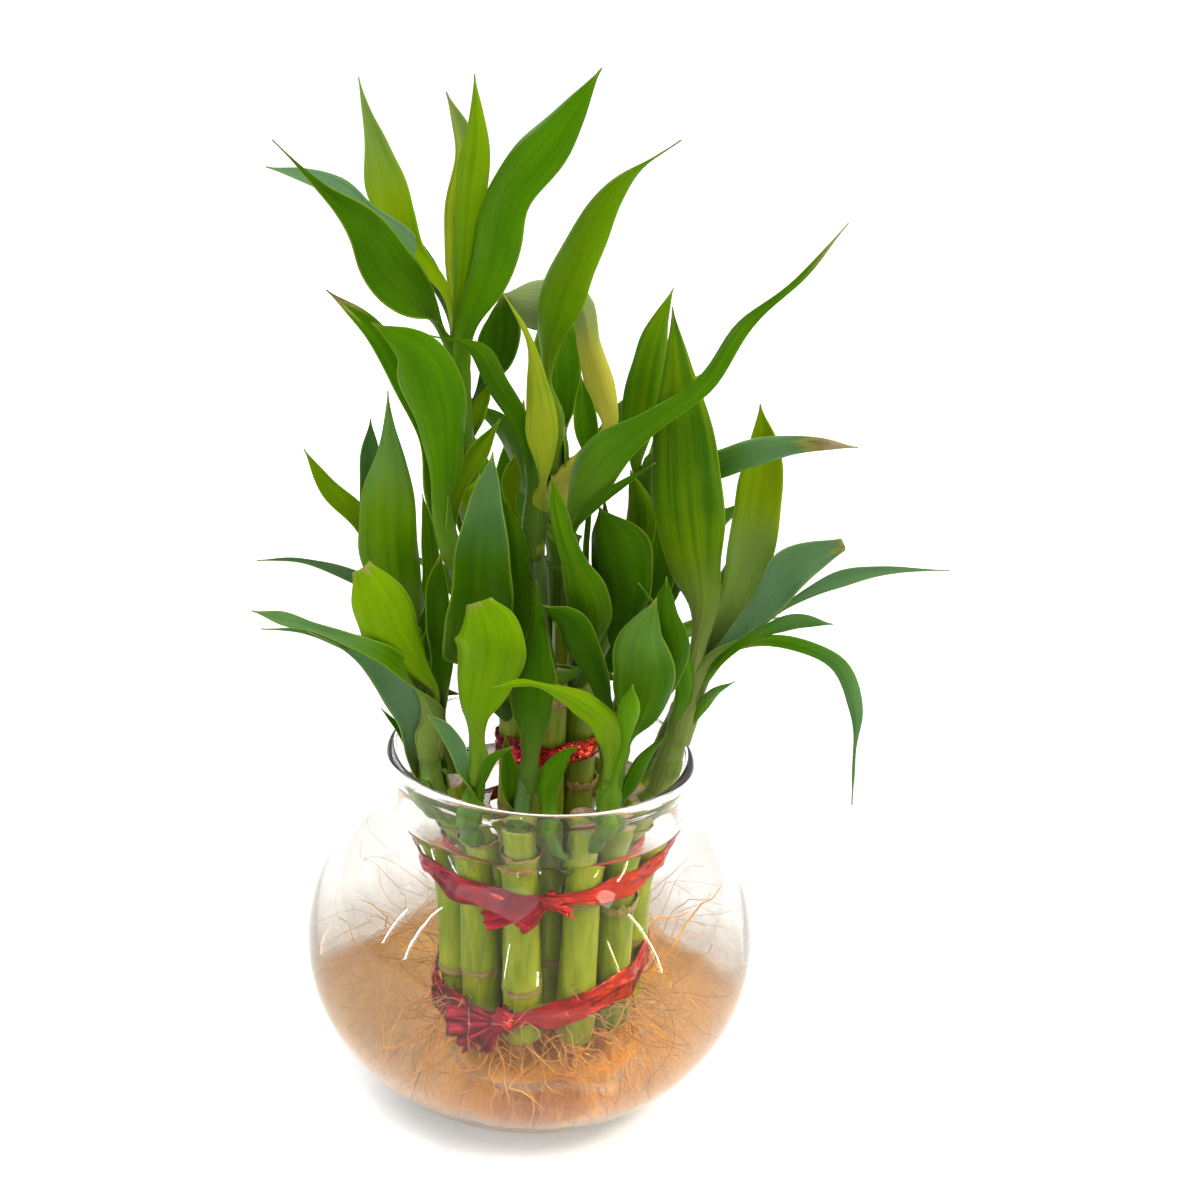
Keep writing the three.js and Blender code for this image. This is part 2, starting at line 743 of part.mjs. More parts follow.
// The inner tier: taller canes packed inside the ring, whose shoots carry the high leaves
const innerTier = [
  {
    name: "tall_stalk_front_left",
    angle: -60,
    footAngle: -64,
    top: 139,
    joint: 92,
    shoots: [
      {
        stem: [[-8.5, -5.5, 130], [-16, -9, 146], [-24, -11, 160], [-28.5, -13, 172]],
        leaves: [
          {
            via: [
              [-31.5, -14, 186], [-34, -14.5, 202], [-41.5, -16.5, 216.5],
              [-49.5, -19.5, 230.5], [-61, -23, 241],
            ],
            width: 7.5, shape: [44, 68, 94, 99, 100, 96, 83, 53, 0], face: 30,
          },
          {
            via: [
              [-29, -16, 184], [-29.5, -20, 199], [-31.5, -24.5, 213.5],
              [-37, -29.5, 227.5], [-48.5, -32, 235.5],
            ],
            width: 15.5, shape: [34, 40, 47, 61, 80, 100, 92, 48, 0], face: 15,
          },
        ],
      },
      {
        stem: [[-8.5, -5.5, 119], [-13, -10, 125], [-17, -14, 134]],
        leaves: [
          {
            via: [
              [-18, -17.5, 146.5], [-18.5, -21, 160.5], [-18.5, -23.5, 174],
              [-18, -25, 188], [-17, -26, 202],
            ],
            width: 18, shape: [17, 84, 100, 95, 87, 75, 57, 33, 0],
          },
          {
            from: 0.5,
            via: [
              [-18.5, -11, 142], [-24, -11.5, 158.5], [-28, -11.5, 175],
              [-24, -11, 191.5], [-16, -11, 206.5],
            ],
            width: 5.5, shape: [49, 49, 49, 49, 49, 54, 55, 100, 0],
          },
        ],
      },
    ],
  },
  {
    name: "tall_stalk_left",
    angle: -125,
    footAngle: -136,
    top: 143,
    joint: 75,
    shoots: [
      {
        radius: 2.9,
        stem: [[-8.5, 5, 132], [-18, 2, 156], [-25, -2, 184], [-27.5, -4, 206], [-27.5, -5, 226]],
        leaves: [
          {
            via: [
              [-32.5, 1, 236.5], [-42.5, 5.5, 247.5], [-49.5, 8, 260.5],
              [-54, 8, 275.5], [-57, 5, 290.5],
            ],
            width: 12.5, shape: [13, 14, 36, 45, 77, 100, 65, 25, 0], face: 40,
          },
          {
            via: [
              [-35.5, -8.5, 232], [-46, -14, 243], [-53, -21, 256.5],
              [-63, -28, 268], [-73.5, -34, 279.5],
            ],
            width: 15, shape: [19, 21, 85, 100, 89, 58, 25, 8, 0], face: 40,
          },
          {
            via: [
              [-31, 4, 229.5], [-39.5, 5, 243.5], [-50.5, 2.5, 255],
              [-64, -1, 263.5], [-79, -6, 268],
            ],
            width: 7, shape: [38, 38, 57, 95, 95, 39, 100, 67, 0], face: 60,
          },
          {
            via: [
              [-29, -6.5, 229.5], [-27, -8.5, 245.5], [-26.5, -10, 262],
              [-25.5, -7, 278], [-27, -2, 294],
            ],
            width: 8, shape: [27, 27, 36, 71, 86, 100, 98, 45, 0],
          },
          {
            via: [[-28.5, 0, 225.5], [-29.5, 4, 241.5], [-30, 8, 257], [-29, 11.5, 273], [-35, 14, 287]],
            width: 7.5, shape: [20, 20, 20, 74, 89, 100, 80, 59, 0],
          },
          {
            via: [
              [-27, -9, 226], [-21.5, -13.5, 245.5], [-17.5, -18, 265.5],
              [-6, -16.5, 282], [5, -10, 298.5],
            ],
            width: 14.5, shape: [35, 35, 38, 77, 100, 85, 87, 47, 0], face: -20,
          },
          {
            from: 0.7,
            via: [
              [-24.5, -2.5, 205], [-21.5, -1.5, 213], [-17, -0.5, 220.5],
              [-16.5, 1.5, 229], [-17.5, 4, 237],
            ],
            width: 12, shape: [10, 10, 10, 26, 61, 99, 100, 61, 0], face: -30,
          },
          {
            from: 0.6,
            via: [
              [-24.5, -2, 192.5], [-24, -2, 198], [-22.5, -2, 203.5],
              [-21.5, -1.5, 208.5], [-19.5, -1, 213.5],
            ],
            width: 4, shape: [43, 43, 43, 43, 65, 92, 100, 88, 0],
          },
        ],
      },
    ],
  },
  {
    name: "tall_stalk_front",
    angle: 5,
    footAngle: 8,
    top: 136,
    joint: 86,
    shoots: [
      {
        radius: 3.6,
        stem: [[1.5, -10, 128], [-3, -11, 148], [-5, -10, 168], [-5, -9, 184]],
        leaves: [
          {
            via: [
              [-3.5, -16.5, 193], [-4.5, -18.5, 205.5], [-6.5, -20, 218.5],
              [-9.5, -20, 231], [-16.5, -19, 242],
            ],
            width: 8.5, shape: [11, 11, 57, 100, 84, 56, 26, 12, 0],
          },
          {
            via: [
              [-7, -12.5, 193], [-9.5, -15.5, 205.5], [-16, -18, 216.5],
              [-23, -20.5, 227.5], [-35, -23, 231],
            ],
            width: 5.5, shape: [62, 62, 62, 73, 96, 100, 98, 21, 0], face: 10,
          },
          {
            from: 0.05,
            via: [
              [11, -16, 140.5], [11.5, -21, 155], [7.5, -25.5, 169],
              [2, -28.5, 183], [-1.5, -29, 197.5],
            ],
            width: 11.5, shape: [12, 12, 38, 94, 100, 61, 44, 36, 0],
          },
          {
            from: 0.03,
            via: [
              [-5, -14.5, 137.5], [-6.5, -15.5, 150], [-8, -16, 162.5],
              [-10, -16, 174.5], [-14, -15, 186.5],
            ],
            width: 6, shape: [29, 38, 86, 98, 92, 92, 100, 51, 0],
          },
        ],
      },
    ],
  },
  {
    name: "tall_stalk_right",
    angle: 70,
    footAngle: 80,
    top: 140,
    joint: 99,
    shoots: [
      {
        stem: [[9, -4.5, 130], [10, -9, 148], [8, -12, 166]],
        leaves: [
          {
            via: [
              [4, -16, 182.5], [9.5, -21, 199], [22.5, -26.5, 212], [35, -31.5, 224.5],
              [43.5, -35.5, 241], [56, -39, 254.5], [66.5, -41, 269.5],
            ],
            width: 12.5, shape: [15, 15, 98, 100, 60, 42, 41, 36, 15, 11, 0], face: -30,
          },
          {
            from: 0.05,
            via: [
              [20.5, -9.5, 134.5], [19, -12.5, 147.5], [20, -15, 161],
              [17, -16.5, 173.5], [11.5, -17, 186],
            ],
            width: 17, shape: [4, 4, 16, 36, 62, 92, 100, 69, 0], face: -10,
          },
          {
            from: 0.7,
            via: [[9, -9.5, 168], [9, -9, 181], [8.5, -8.5, 194], [6.5, -8, 206.5], [4.5, -7, 219]],
            width: 6, shape: [27, 27, 27, 27, 27, 27, 100, 87, 0], face: 10,
          },
          {
            from: 0.9,
            via: [
              [6, -16, 171.5], [5, -20, 180.5], [10.5, -22.5, 188.5],
              [17.5, -25, 195.5], [25, -27, 202],
            ],
            width: 2.5, shape: [49, 49, 49, 49, 79, 100, 89, 43, 0], face: -20,
          },
        ],
      },
      {
        stem: [[11, -2.5, 132], [17, 0, 152], [23, 1, 172], [25, 1, 186]],
        leaves: [
          {
            via: [[20, 0, 194], [21, -1, 206], [22, -2, 218.5], [24, -1.5, 230.5], [27.5, 0, 242]],
            width: 10, shape: [18, 30, 70, 98, 100, 89, 74, 37, 0],
          },
          {
            via: [
              [25, -3.5, 195], [38.5, -8.5, 195.5], [50.5, -13.5, 202],
              [63.5, -18.5, 207], [77.5, -22, 208],
            ],
            width: 7.5, shape: [50, 50, 74, 100, 98, 91, 67, 43, 0], face: -20,
          },
          {
            from: 0.3,
            via: [[19.5, -2, 156.5], [23, -3.5, 165], [23, -4.5, 174.5], [22, -5, 184], [19.5, -5, 193]],
            width: 8.5, shape: [50, 50, 50, 50, 78, 100, 91, 55, 0], face: -20,
          },
          { from: 0.8, via: [[27, 10, 192], [34, 20, 208], [44, 28, 214]], width: 13, face: -140 },
        ],
      },
    ],
  },
  {
    name: "tall_stalk_back",
    angle: 150,
    footAngle: 152,
    top: 143,
    joint: 80,
    shoots: [
      {
        stem: [[5, 9.5, 132], [3, 10, 158], [0, 8, 184], [-2, 6, 206]],
        leaves: [
          {
            via: [[-5, 3, 221.5], [-2, -1, 239], [4, -5.5, 255.5], [12.5, -9.5, 271], [26, -13, 282.5]],
            width: 12.5, shape: [8, 18, 60, 100, 94, 80, 46, 7, 0], face: -20,
          },
          {
            from: 0.7,
            via: [
              [7.5, 6.5, 192.5], [13.5, 6, 201.5], [10, 8, 212], [6.5, 9, 222.5],
              [3, 9, 233.5], [-7, 9, 233], [-18, 8, 235.5],
            ],
            width: 13.5, shape: [28, 28, 28, 37, 58, 52, 46, 53, 100, 91, 0],
          },
          {
            from: 0.5,
            via: [[-4.5, 9, 170.5], [-10.5, 8.5, 173], [-12.5, 9, 178.5], [-12.5, 9, 185], [-12, 9, 191]],
            width: 5, shape: [22, 22, 22, 22, 48, 86, 100, 78, 0],
          },
          arching({
            azimuth: 185, root: [-1, 7, 196], reach: 34, rise: 40, droop: 6, width: 14, from: 0.85,
          }),
          { from: 0.5, via: [[10, 18, 184], [16, 28, 198], [24, 38, 202]], width: 12, face: -150 },
          { from: 0.45, via: [[-8, 16, 178], [-16, 26, 192], [-26, 34, 198]], width: 11, face: 140 },
          {
            from: 0.4,
            via: [[2.5, 12.5, 142], [2, 15.5, 122.5], [1, 17, 127.5], [0, 17.5, 147], [-1, 18, 166.5]],
            width: 8.5, shape: [1, 1, 1, 1, 35, 100, 89, 58, 0],
          },
          {
            from: 0.48,
            via: [
              [8, 13, 144], [14.5, 17, 120.5], [16.5, 19, 128.5],
              [15.5, 19.5, 153], [13.5, 20, 177.5],
            ],
            width: 12, shape: [26, 26, 26, 26, 59, 100, 86, 52, 0],
          },
        ],
      },
    ],
  },
];

// The bundle leans a little: its middle lies right of the foot's middle below, and over it above
function bundleX(z) {
  return THREE.MathUtils.mapLinear(z, CANE_FOOT_Z, INNER_TOP_Z, BUNDLE_FOOT_X, BUNDLE_TOP_X);
}

function bundlePoint(radius, angle, z) {
  const point = polar(radius, angle * degrees, z);
  point.x += bundleX(z);
  return point;
}

function stalkSolid(stalk, footRing, topRing) {
  const foot = bundlePoint(footRing, stalk.footAngle, CANE_FOOT_Z);
  const top = bundlePoint(topRing, stalk.angle, stalk.top);
  const length = top.distanceTo(foot);
  const joints = [-1, 0, 1]
    .map((step) => stalk.joint - CANE_FOOT_Z + step * INTERNODE)
    .filter((z) => z > JOINT_MARGIN && z < length - JOINT_MARGIN);
  return joined([cane(foot, top, joints), ...stalk.shoots.flatMap(shootSolids)]);
}

function makeStalks() {
  for (const stalk of outerTier) {
    const solid = stalkSolid(stalk, OUTER_FOOT_RING, OUTER_TOP_RING);
    addPiece(stalk.name, geometryOf(solid), stalkFinish);
  }
  for (const stalk of innerTier) {
    const solid = stalkSolid(stalk, INNER_FOOT_RING, INNER_TOP_RING);
    addPiece(stalk.name, geometryOf(solid), innerStalkFinish);
  }
}

// A foil ribbon: a flat band drawn round the canes, tilted, with a knot and two short tails in front
const BAND_SIDES = 20;
const KNOT_RADIUS = 2.8;
const TAIL_LENGTH = 10;
const TAIL_WIDTH = 5;

function ribbonBand(ring, width, middleZ, tilt) {
  const reach = ring + CANE_RADIUS + NODE_SWELL + 2 * CLEARANCE;
  const half = width / 2;
  const section = [
    [reach, -half],
    [reach + RIBBON_THICKNESS, -half],
    [reach + RIBBON_THICKNESS, half],
    [reach, half],
    [reach, -half],
  ];
  const band = turned(section, BAND_SIDES);
  band.rotateY(-tilt * degrees).translate(bundleX(middleZ), 0, middleZ);
  return { band, reach: reach + RIBBON_THICKNESS };
}

function makeRibbon(name, ring, { width, middleZ, tilt, knotAngle }) {
  const { band, reach } = ribbonBand(ring, width, middleZ, tilt);
  const solids = [solidOf(band)];
  const knotZ = middleZ + reach * Math.sin(knotAngle * degrees) * Math.tan(tilt * degrees);
  const at = bundlePoint(reach + KNOT_RADIUS - 1.6, knotAngle, knotZ);
  const knot = new THREE.IcosahedronGeometry(KNOT_RADIUS, 0);
  solids.push(solidOf(knot.translate(at.x, at.y, at.z)));
  for (const lean of [0.35, 0.95]) {
    const tail = new THREE.BoxGeometry(TAIL_WIDTH, RIBBON_THICKNESS, TAIL_LENGTH);
    tail.translate(0, 0, -TAIL_LENGTH / 2).rotateX(-0.25).rotateY(lean).rotateZ(knotAngle * degrees);
    solids.push(solidOf(tail.translate(at.x, at.y, at.z)));
  }
  addPiece(name, geometryOf(joined(solids)), ribbonFinish);
}

// The radius of each ring of canes at a height
function outerRing(z) {
  return THREE.MathUtils.mapLinear(z, CANE_FOOT_Z, 97, OUTER_FOOT_RING, OUTER_TOP_RING);
}

function innerRing(z) {
  return THREE.MathUtils.mapLinear(z, CANE_FOOT_Z, INNER_TOP_Z, INNER_FOOT_RING, INNER_TOP_RING);
}

makeVase();
makeWater();
makeRootMat();
makeStalks();
const upperTie = { width: UPPER_RIBBON_WIDTH, middleZ: 71, tilt: 11, knotAngle: 3 };
const lowerTie = { width: LOWER_RIBBON_WIDTH, middleZ: 38, tilt: 8, knotAngle: -20 };
const innerTie = { width: INNER_RIBBON_WIDTH, middleZ: 111, tilt: 2, knotAngle: 160 };
makeRibbon("upper_ribbon", outerRing(80.5), upperTie);
makeRibbon("lower_ribbon", outerRing(43), lowerTie);
makeRibbon("inner_ribbon", innerRing(114), innerTie);

export default group;
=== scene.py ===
import math
import random

import bmesh
import bpy
from mathutils import Matrix, Quaternion, Vector, noise


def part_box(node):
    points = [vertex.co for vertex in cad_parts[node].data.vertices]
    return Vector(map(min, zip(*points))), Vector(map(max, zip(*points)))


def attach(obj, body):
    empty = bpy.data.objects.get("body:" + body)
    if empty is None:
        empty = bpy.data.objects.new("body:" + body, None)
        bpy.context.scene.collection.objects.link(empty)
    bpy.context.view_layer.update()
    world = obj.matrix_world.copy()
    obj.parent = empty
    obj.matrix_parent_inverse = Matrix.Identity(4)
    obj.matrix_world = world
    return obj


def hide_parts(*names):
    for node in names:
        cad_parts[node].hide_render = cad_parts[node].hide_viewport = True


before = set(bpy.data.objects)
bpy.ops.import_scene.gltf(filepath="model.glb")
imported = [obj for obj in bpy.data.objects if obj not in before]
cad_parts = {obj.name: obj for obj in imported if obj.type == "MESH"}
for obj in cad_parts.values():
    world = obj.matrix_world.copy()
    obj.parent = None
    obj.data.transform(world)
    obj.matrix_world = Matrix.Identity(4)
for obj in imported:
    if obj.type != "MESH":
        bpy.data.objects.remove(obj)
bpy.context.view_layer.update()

# Sizes are in millimetres, and meshes are turned into metres once, at the end.
MM = 0.001
TAU = 2 * math.pi

# The vase and the water, read from the frame
vase_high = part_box("glass_vase")[1]
water_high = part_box("water")[1]
BOWL_RADIUS = 65
BOWL_HALF_HEIGHT = 54
BOWL_MIDDLE_Z = 47.5
GLASS = 2
FLOOR_THICKNESS = 3.2
NECK_RADIUS = 42.4
NECK_FOOT_Z = 91
SHOULDER_Z = 84.5
LIP_RADIUS = 44
RIM_Z = vase_high.z / MM
WATER_Z = water_high.z / MM
VASE_STEPS = 144

# The stalks
CANE_RADIUS = 4.7
CANE_STEPS = 28
CANE_FOOT_Z = 29.5
OUTER_FOOT_RING = 17
OUTER_TOP_RING = 28
INNER_FOOT_RING = 8.4
INNER_TOP_RING = 10.5
INNER_TOP_Z = 140
BUNDLE_FOOT_X = 3.2
BUNDLE_TOP_X = 0.5
NODE_SWELL = 0.25
INTERNODE = 41
JOINT_MARGIN = 6

# The leaves
BLADE_THICKNESS = 0.7
BLADE_COLUMNS = 10
BLADE_ROWS = 52
SET_SHARE = 0.4
CLASP_SHARE = 0.22
CLASP_TURN = 2.3
TROUGH_TURN = 0.672
EDGE_WAVE = 0.05
LANCET_WIDEST = 0.42
LANCET_POINT = 1.9
STEM_RADIUS = 3
STEM_TAPER = 0.75
PALE_STEMS = {"stalk_right": 1.0, "stalk_right_back": 0.9, "stalk_left_front": 0.8, "stalk_left": 0.6}

# The roots
ROOT_TOP_Z = 48
FELT_REACH = 44.5
FELT_THICKNESS = 0.4
VEIL_REACH = 8
CUSHION_REACH = 21
ROOT_REACH = 52
TANGLE_RINGS = 12
HAIR_RINGS = 5

# The foil ribbons
UPPER_RIBBON_WIDTH = 9.5
LOWER_RIBBON_WIDTH = 7.5
INNER_RIBBON_WIDTH = 7
UPPER_RIBBON_Z = 71.5
LOWER_RIBBON_Z = 37.5
INNER_RIBBON_Z = 111
FOIL_THICKNESS = 0.2

# Camera: at the photograph's viewing angle
CAMERA_PLACE = (0, -560, 364.8)
CAMERA_YAW = 1.415
CAMERA_PITCH = -20.70
CAMERA_ROLL = 3.91
CAMERA_LENS = 64.71
SENSOR_WIDTH = 36

# Light of the stage
WORLD_LIGHT = 0.6
FLOOR_GLOW_NEAR = 0.25
FLOOR_GLOW_FAR = 0.6


def make_camera():
    yaw, pitch, roll = (math.radians(turn) for turn in (CAMERA_YAW, CAMERA_PITCH, CAMERA_ROLL))
    ahead = Vector((math.sin(yaw) * math.cos(pitch), math.cos(yaw) * math.cos(pitch), math.sin(pitch)))
    level = ahead.cross(Vector((0, 0, 1))).normalized()
    upright = level.cross(ahead)
    right = level * math.cos(roll) + upright * math.sin(roll)
    up = upright * math.cos(roll) - level * math.sin(roll)
    camera = bpy.data.cameras.new("camera")
    camera.lens = CAMERA_LENS
    camera.sensor_width = SENSOR_WIDTH
    camera.clip_start = 0.01
    holder = bpy.data.objects.new("camera", camera)
    turn = Matrix((right, up, -ahead)).transposed().to_4x4()
    holder.matrix_world = Matrix.Translation(Vector(CAMERA_PLACE) * MM) @ turn
    bpy.context.scene.collection.objects.link(holder)
    bpy.context.scene.camera = holder


# Small builders shared by the pieces
def new_piece(name, mesh_form, materials, replaced=()):
    """A finished piece in metres from a bmesh in millimetres. It rides on the part's one body."""
    mesh = bpy.data.meshes.new(name)
    bmesh.ops.scale(mesh_form, vec=(MM, MM, MM), verts=mesh_form.verts)
    mesh_form.to_mesh(mesh)
    mesh_form.free()
    for material in materials:
        mesh.materials.append(material)
    mesh.polygons.foreach_set("use_smooth", [True] * len(mesh.polygons))
    piece = bpy.data.objects.new(name, mesh)
    bpy.context.scene.collection.objects.link(piece)
    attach(piece, "root")
    for node in replaced:
        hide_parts(node)
    return piece


def solidified(piece, thickness, group=None, edge_share=0.3):
    """Gives a sheet its wall, thinner towards its edges where a vertex group says so."""
    wall = piece.modifiers.new("wall", "SOLIDIFY")
    wall.thickness = thickness * MM
    wall.offset = 0
    wall.use_even_offset = True
    if group:
        wall.vertex_group = group
        wall.thickness_vertex_group = edge_share


def lathe(profile, steps):
    """A turned form: the profile of (radius, height) points spun once round the upright axis."""
    form = bmesh.new()
    verts = [form.verts.new((radius, 0, z)) for radius, z in profile]
    edges = [form.edges.new(pair) for pair in zip(verts, verts[1:])]
    bmesh.ops.spin(
        form, geom=verts + edges, axis=(0, 0, 1), cent=(0, 0, 0),
        steps=steps, angle=TAU, use_merge=True,
    )
    bmesh.ops.remove_doubles(form, verts=form.verts, dist=0.001)
    bmesh.ops.recalc_face_normals(form, faces=form.faces)
    return form


def absorb(target, form, material_index=0):
    """Adds a form to another and frees it."""
    for face in form.faces:
        face.material_index = material_index
    holder = bpy.data.meshes.new("form")
    form.to_mesh(holder)
    form.free()
    target.from_mesh(holder)
    bpy.data.meshes.remove(holder)


def smoothstep(low, high, value):
    share = min(max((value - low) / (high - low), 0), 1)
    return share * share * (3 - 2 * share)


def mix(a, b, share):
    return a + (b - a) * share


def polar(radius, angle, z):
    """A point at a compass angle in degrees, from the front towards +X."""
    turn = math.radians(angle)
    return Vector((radius * math.sin(turn), -radius * math.cos(turn), z))


class Path:
    """A smooth curve through points, read by its share of length."""

    SAMPLES_A_SPAN = 24

    def __init__(self, points):
        self.points = [Vector(point) for point in points]
        spans = len(self.points) - 1
        self.samples = [self._spot(i / self.SAMPLES_A_SPAN) for i in range(spans * self.SAMPLES_A_SPAN + 1)]
        self.reach = [0]
        for a, b in zip(self.samples, self.samples[1:]):
            self.reach.append(self.reach[-1] + (b - a).length)
        self.length = self.reach[-1]

    def _spot(self, place):
        last = len(self.points) - 1
        span = min(int(place), last - 1)
        t = place - span
        p1, p2 = self.points[span], self.points[span + 1]
        p0 = self.points[span - 1] if span else 2 * p1 - p2
        p3 = self.points[span + 2] if span + 2 <= last else 2 * p2 - p1
        d0, d1, d2 = (math.sqrt(max((b - a).length, 1e-6)) for a, b in ((p0, p1), (p1, p2), (p2, p3)))
        start = ((p1 - p0) / d0 - (p2 - p0) / (d0 + d1) + (p2 - p1) / d1) * d1
        end = ((p2 - p1) / d1 - (p3 - p1) / (d1 + d2) + (p3 - p2) / d2) * d1
        c2 = -3 * p1 + 3 * p2 - 2 * start - end
        c3 = 2 * p1 - 2 * p2 + start + end
        return p1 + start * t + c2 * t * t + c3 * t * t * t

    def at(self, share):
        goal = min(max(share, 0), 1) * self.length
        low, high = 0, len(self.reach) - 1
        while high - low > 1:
            middle = (low + high) // 2
            if self.reach[middle] <= goal:
                low = middle
            else:
                high = middle
        step = self.reach[high] - self.reach[low]
        return self.samples[low].lerp(self.samples[high], (goal - self.reach[low]) / step if step else 0)

    def tangent(self, share):
        return (self.at(min(share + 0.01, 1)) - self.at(max(share - 0.01, 0))).normalized()


def tube(points, radius_at, sides, rings):
    """A closed round stem along a path. radius_at gives its radius at a share of its length."""
    path = points if isinstance(points, Path) else Path(points)
    form = bmesh.new()
    bmesh.ops.create_cone(
        form, cap_ends=True, segments=sides, radius1=1, radius2=1, depth=2,
        matrix=Matrix.Translation((0, 0, 1)),
    )
    uprights = [edge for edge in form.edges if abs(edge.verts[0].co.z - edge.verts[1].co.z) > 1]
    bmesh.ops.subdivide_edges(form, edges=uprights, cuts=rings - 1, use_grid_fill=False)
    frames = {}
    side = None
    for i in range(rings + 1):
        share = i / rings
        tangent = path.tangent(share)
        if side is None:
            side = tangent.orthogonal().normalized()
        side = (side - tangent * side.dot(tangent)).normalized()
        frames[i] = (path.at(share), side.copy(), tangent.cross(side))
    for vert in form.verts:
        i = round(vert.co.z / 2 * rings)
        middle, side, up = frames[i]
        radius = radius_at(i / rings)
        vert.co = middle + (side * vert.co.x + up * vert.co.y) * radius
    return form


# Materials
def node_tree_of(name):
    material = bpy.data.materials.new(name)
    material.use_nodes = True
    tree = material.node_tree
    shader = tree.nodes["Principled BSDF"]
    return material, tree, shader


def link(tree, source, target):
    tree.links.new(source, target)


def add(tree, kind, **settings):
    node = tree.nodes.new(kind)
    for key, value in settings.items():
        setattr(node, key, value)
    return node


def maths(tree, operation, first, second=None, clamp=False):
    node = add(tree, "ShaderNodeMath", operation=operation, use_clamp=clamp)
    for socket, value in zip(node.inputs, (first, second)):
        if value is None:
            continue
        if isinstance(value, (int, float)):
            socket.default_value = value
        else:
            link(tree, value, socket)
    return node.outputs[0]


def blend_colour(tree, share, first, second):
    node = add(tree, "ShaderNodeMix", data_type="RGBA", blend_type="MIX")
    for socket, value in ((node.inputs["Factor"], share), (node.inputs[6], first), (node.inputs[7], second)):
        if isinstance(value, (int, float)):
            socket.default_value = value
        elif isinstance(value, tuple):
            socket.default_value = (*value, 1)
        else:
            link(tree, value, socket)
    return node.outputs[2]


def noise_of(tree, vector, scale, detail=3, roughness=0.55, distortion=0):
    node = add(tree, "ShaderNodeTexNoise")
    node.inputs["Scale"].default_value = scale
    node.inputs["Detail"].default_value = detail
    node.inputs["Roughness"].default_value = roughness
    node.inputs["Distortion"].default_value = distortion
    link(tree, vector, node.inputs["Vector"])
    return node.outputs["Fac"]


def ramp(tree, value, low, high, to_low=0.0, to_high=1.0):
    node = add(tree, "ShaderNodeMapRange", clamp=True)
    link(tree, value, node.inputs["Value"])
    node.inputs["From Min"].default_value = low
    node.inputs["From Max"].default_value = high
    node.inputs["To Min"].default_value = to_low
    node.inputs["To Max"].default_value = to_high
    return node.outputs["Result"]


def attribute(tree, name):
    return add(tree, "ShaderNodeAttribute", attribute_name=name).outputs["Fac"]


def object_place(tree):
    return add(tree, "ShaderNodeTexCoord").outputs["Object"]


def bump(tree, shader, height, strength, distance):
    node = add(tree, "ShaderNodeBump")
    node.inputs["Strength"].default_value = strength
    node.inputs["Distance"].default_value = distance
    link(tree, height, node.inputs["Height"])
    link(tree, node.outputs["Normal"], shader.inputs["Normal"])


def leaf_rib_group():
    """Long parallel ribs of a blade: stripes that run from its root to its tip."""
    group = bpy.data.node_groups.new("blade ribs", "ShaderNodeTree")
    interface = group.interface
    for name in ("Across", "Along", "Seed"):
        interface.new_socket(name=name, in_out="INPUT", socket_type="NodeSocketFloat")
    for name in ("Broad Stripe", "Fine Rib", "Margin", "Midrib"):
        interface.new_socket(name=name, in_out="OUTPUT", socket_type="NodeSocketFloat")
    entry = add(group, "NodeGroupInput")
    leave = add(group, "NodeGroupOutput")
    across, along, seed = (entry.outputs[name] for name in ("Across", "Along", "Seed"))

    def striped(across_scale, along_scale, detail):
        place = add(group, "ShaderNodeCombineXYZ")
        link(group, maths(group, "MULTIPLY", across, across_scale), place.inputs["X"])
        link(group, maths(group, "MULTIPLY", along, along_scale), place.inputs["Y"])
        link(group, maths(group, "MULTIPLY", seed, 37.0), place.inputs["Z"])
        return noise_of(group, place.outputs[0], 1.0, detail)

    link(group, ramp(group, striped(5, 1.4, 2), 0.32, 0.68), leave.inputs["Broad Stripe"])
    link(group, ramp(group, striped(40, 1.6, 1), 0.3, 0.7), leave.inputs["Fine Rib"])
    from_middle = maths(group, "ABSOLUTE", maths(group, "SUBTRACT", across, 0.5))
    link(group, ramp(group, from_middle, 0.472, 0.49), leave.inputs["Margin"])
    link(group, ramp(group, from_middle, 0.0, 0.03, 1.0, 0.0), leave.inputs["Midrib"])
    return group


def speckle_group():
    """Small soft blotches and dots of age on a plant's skin."""
    group = bpy.data.node_groups.new("skin speckle", "ShaderNodeTree")
    group.interface.new_socket(name="Place", in_out="INPUT", socket_type="NodeSocketVector")
    group.interface.new_socket(name="Blotch", in_out="OUTPUT", socket_type="NodeSocketFloat")
    group.interface.new_socket(name="Dots", in_out="OUTPUT", socket_type="NodeSocketFloat")
    entry = add(group, "NodeGroupInput")
    leave = add(group, "NodeGroupOutput")
    blotch = noise_of(group, entry.outputs["Place"], 55, 4)
    link(group, ramp(group, blotch, 0.4, 0.65), leave.inputs["Blotch"])
    dots = noise_of(group, entry.outputs["Place"], 900, 2)
    link(group, ramp(group, dots, 0.66, 0.74), leave.inputs["Dots"])
    return group


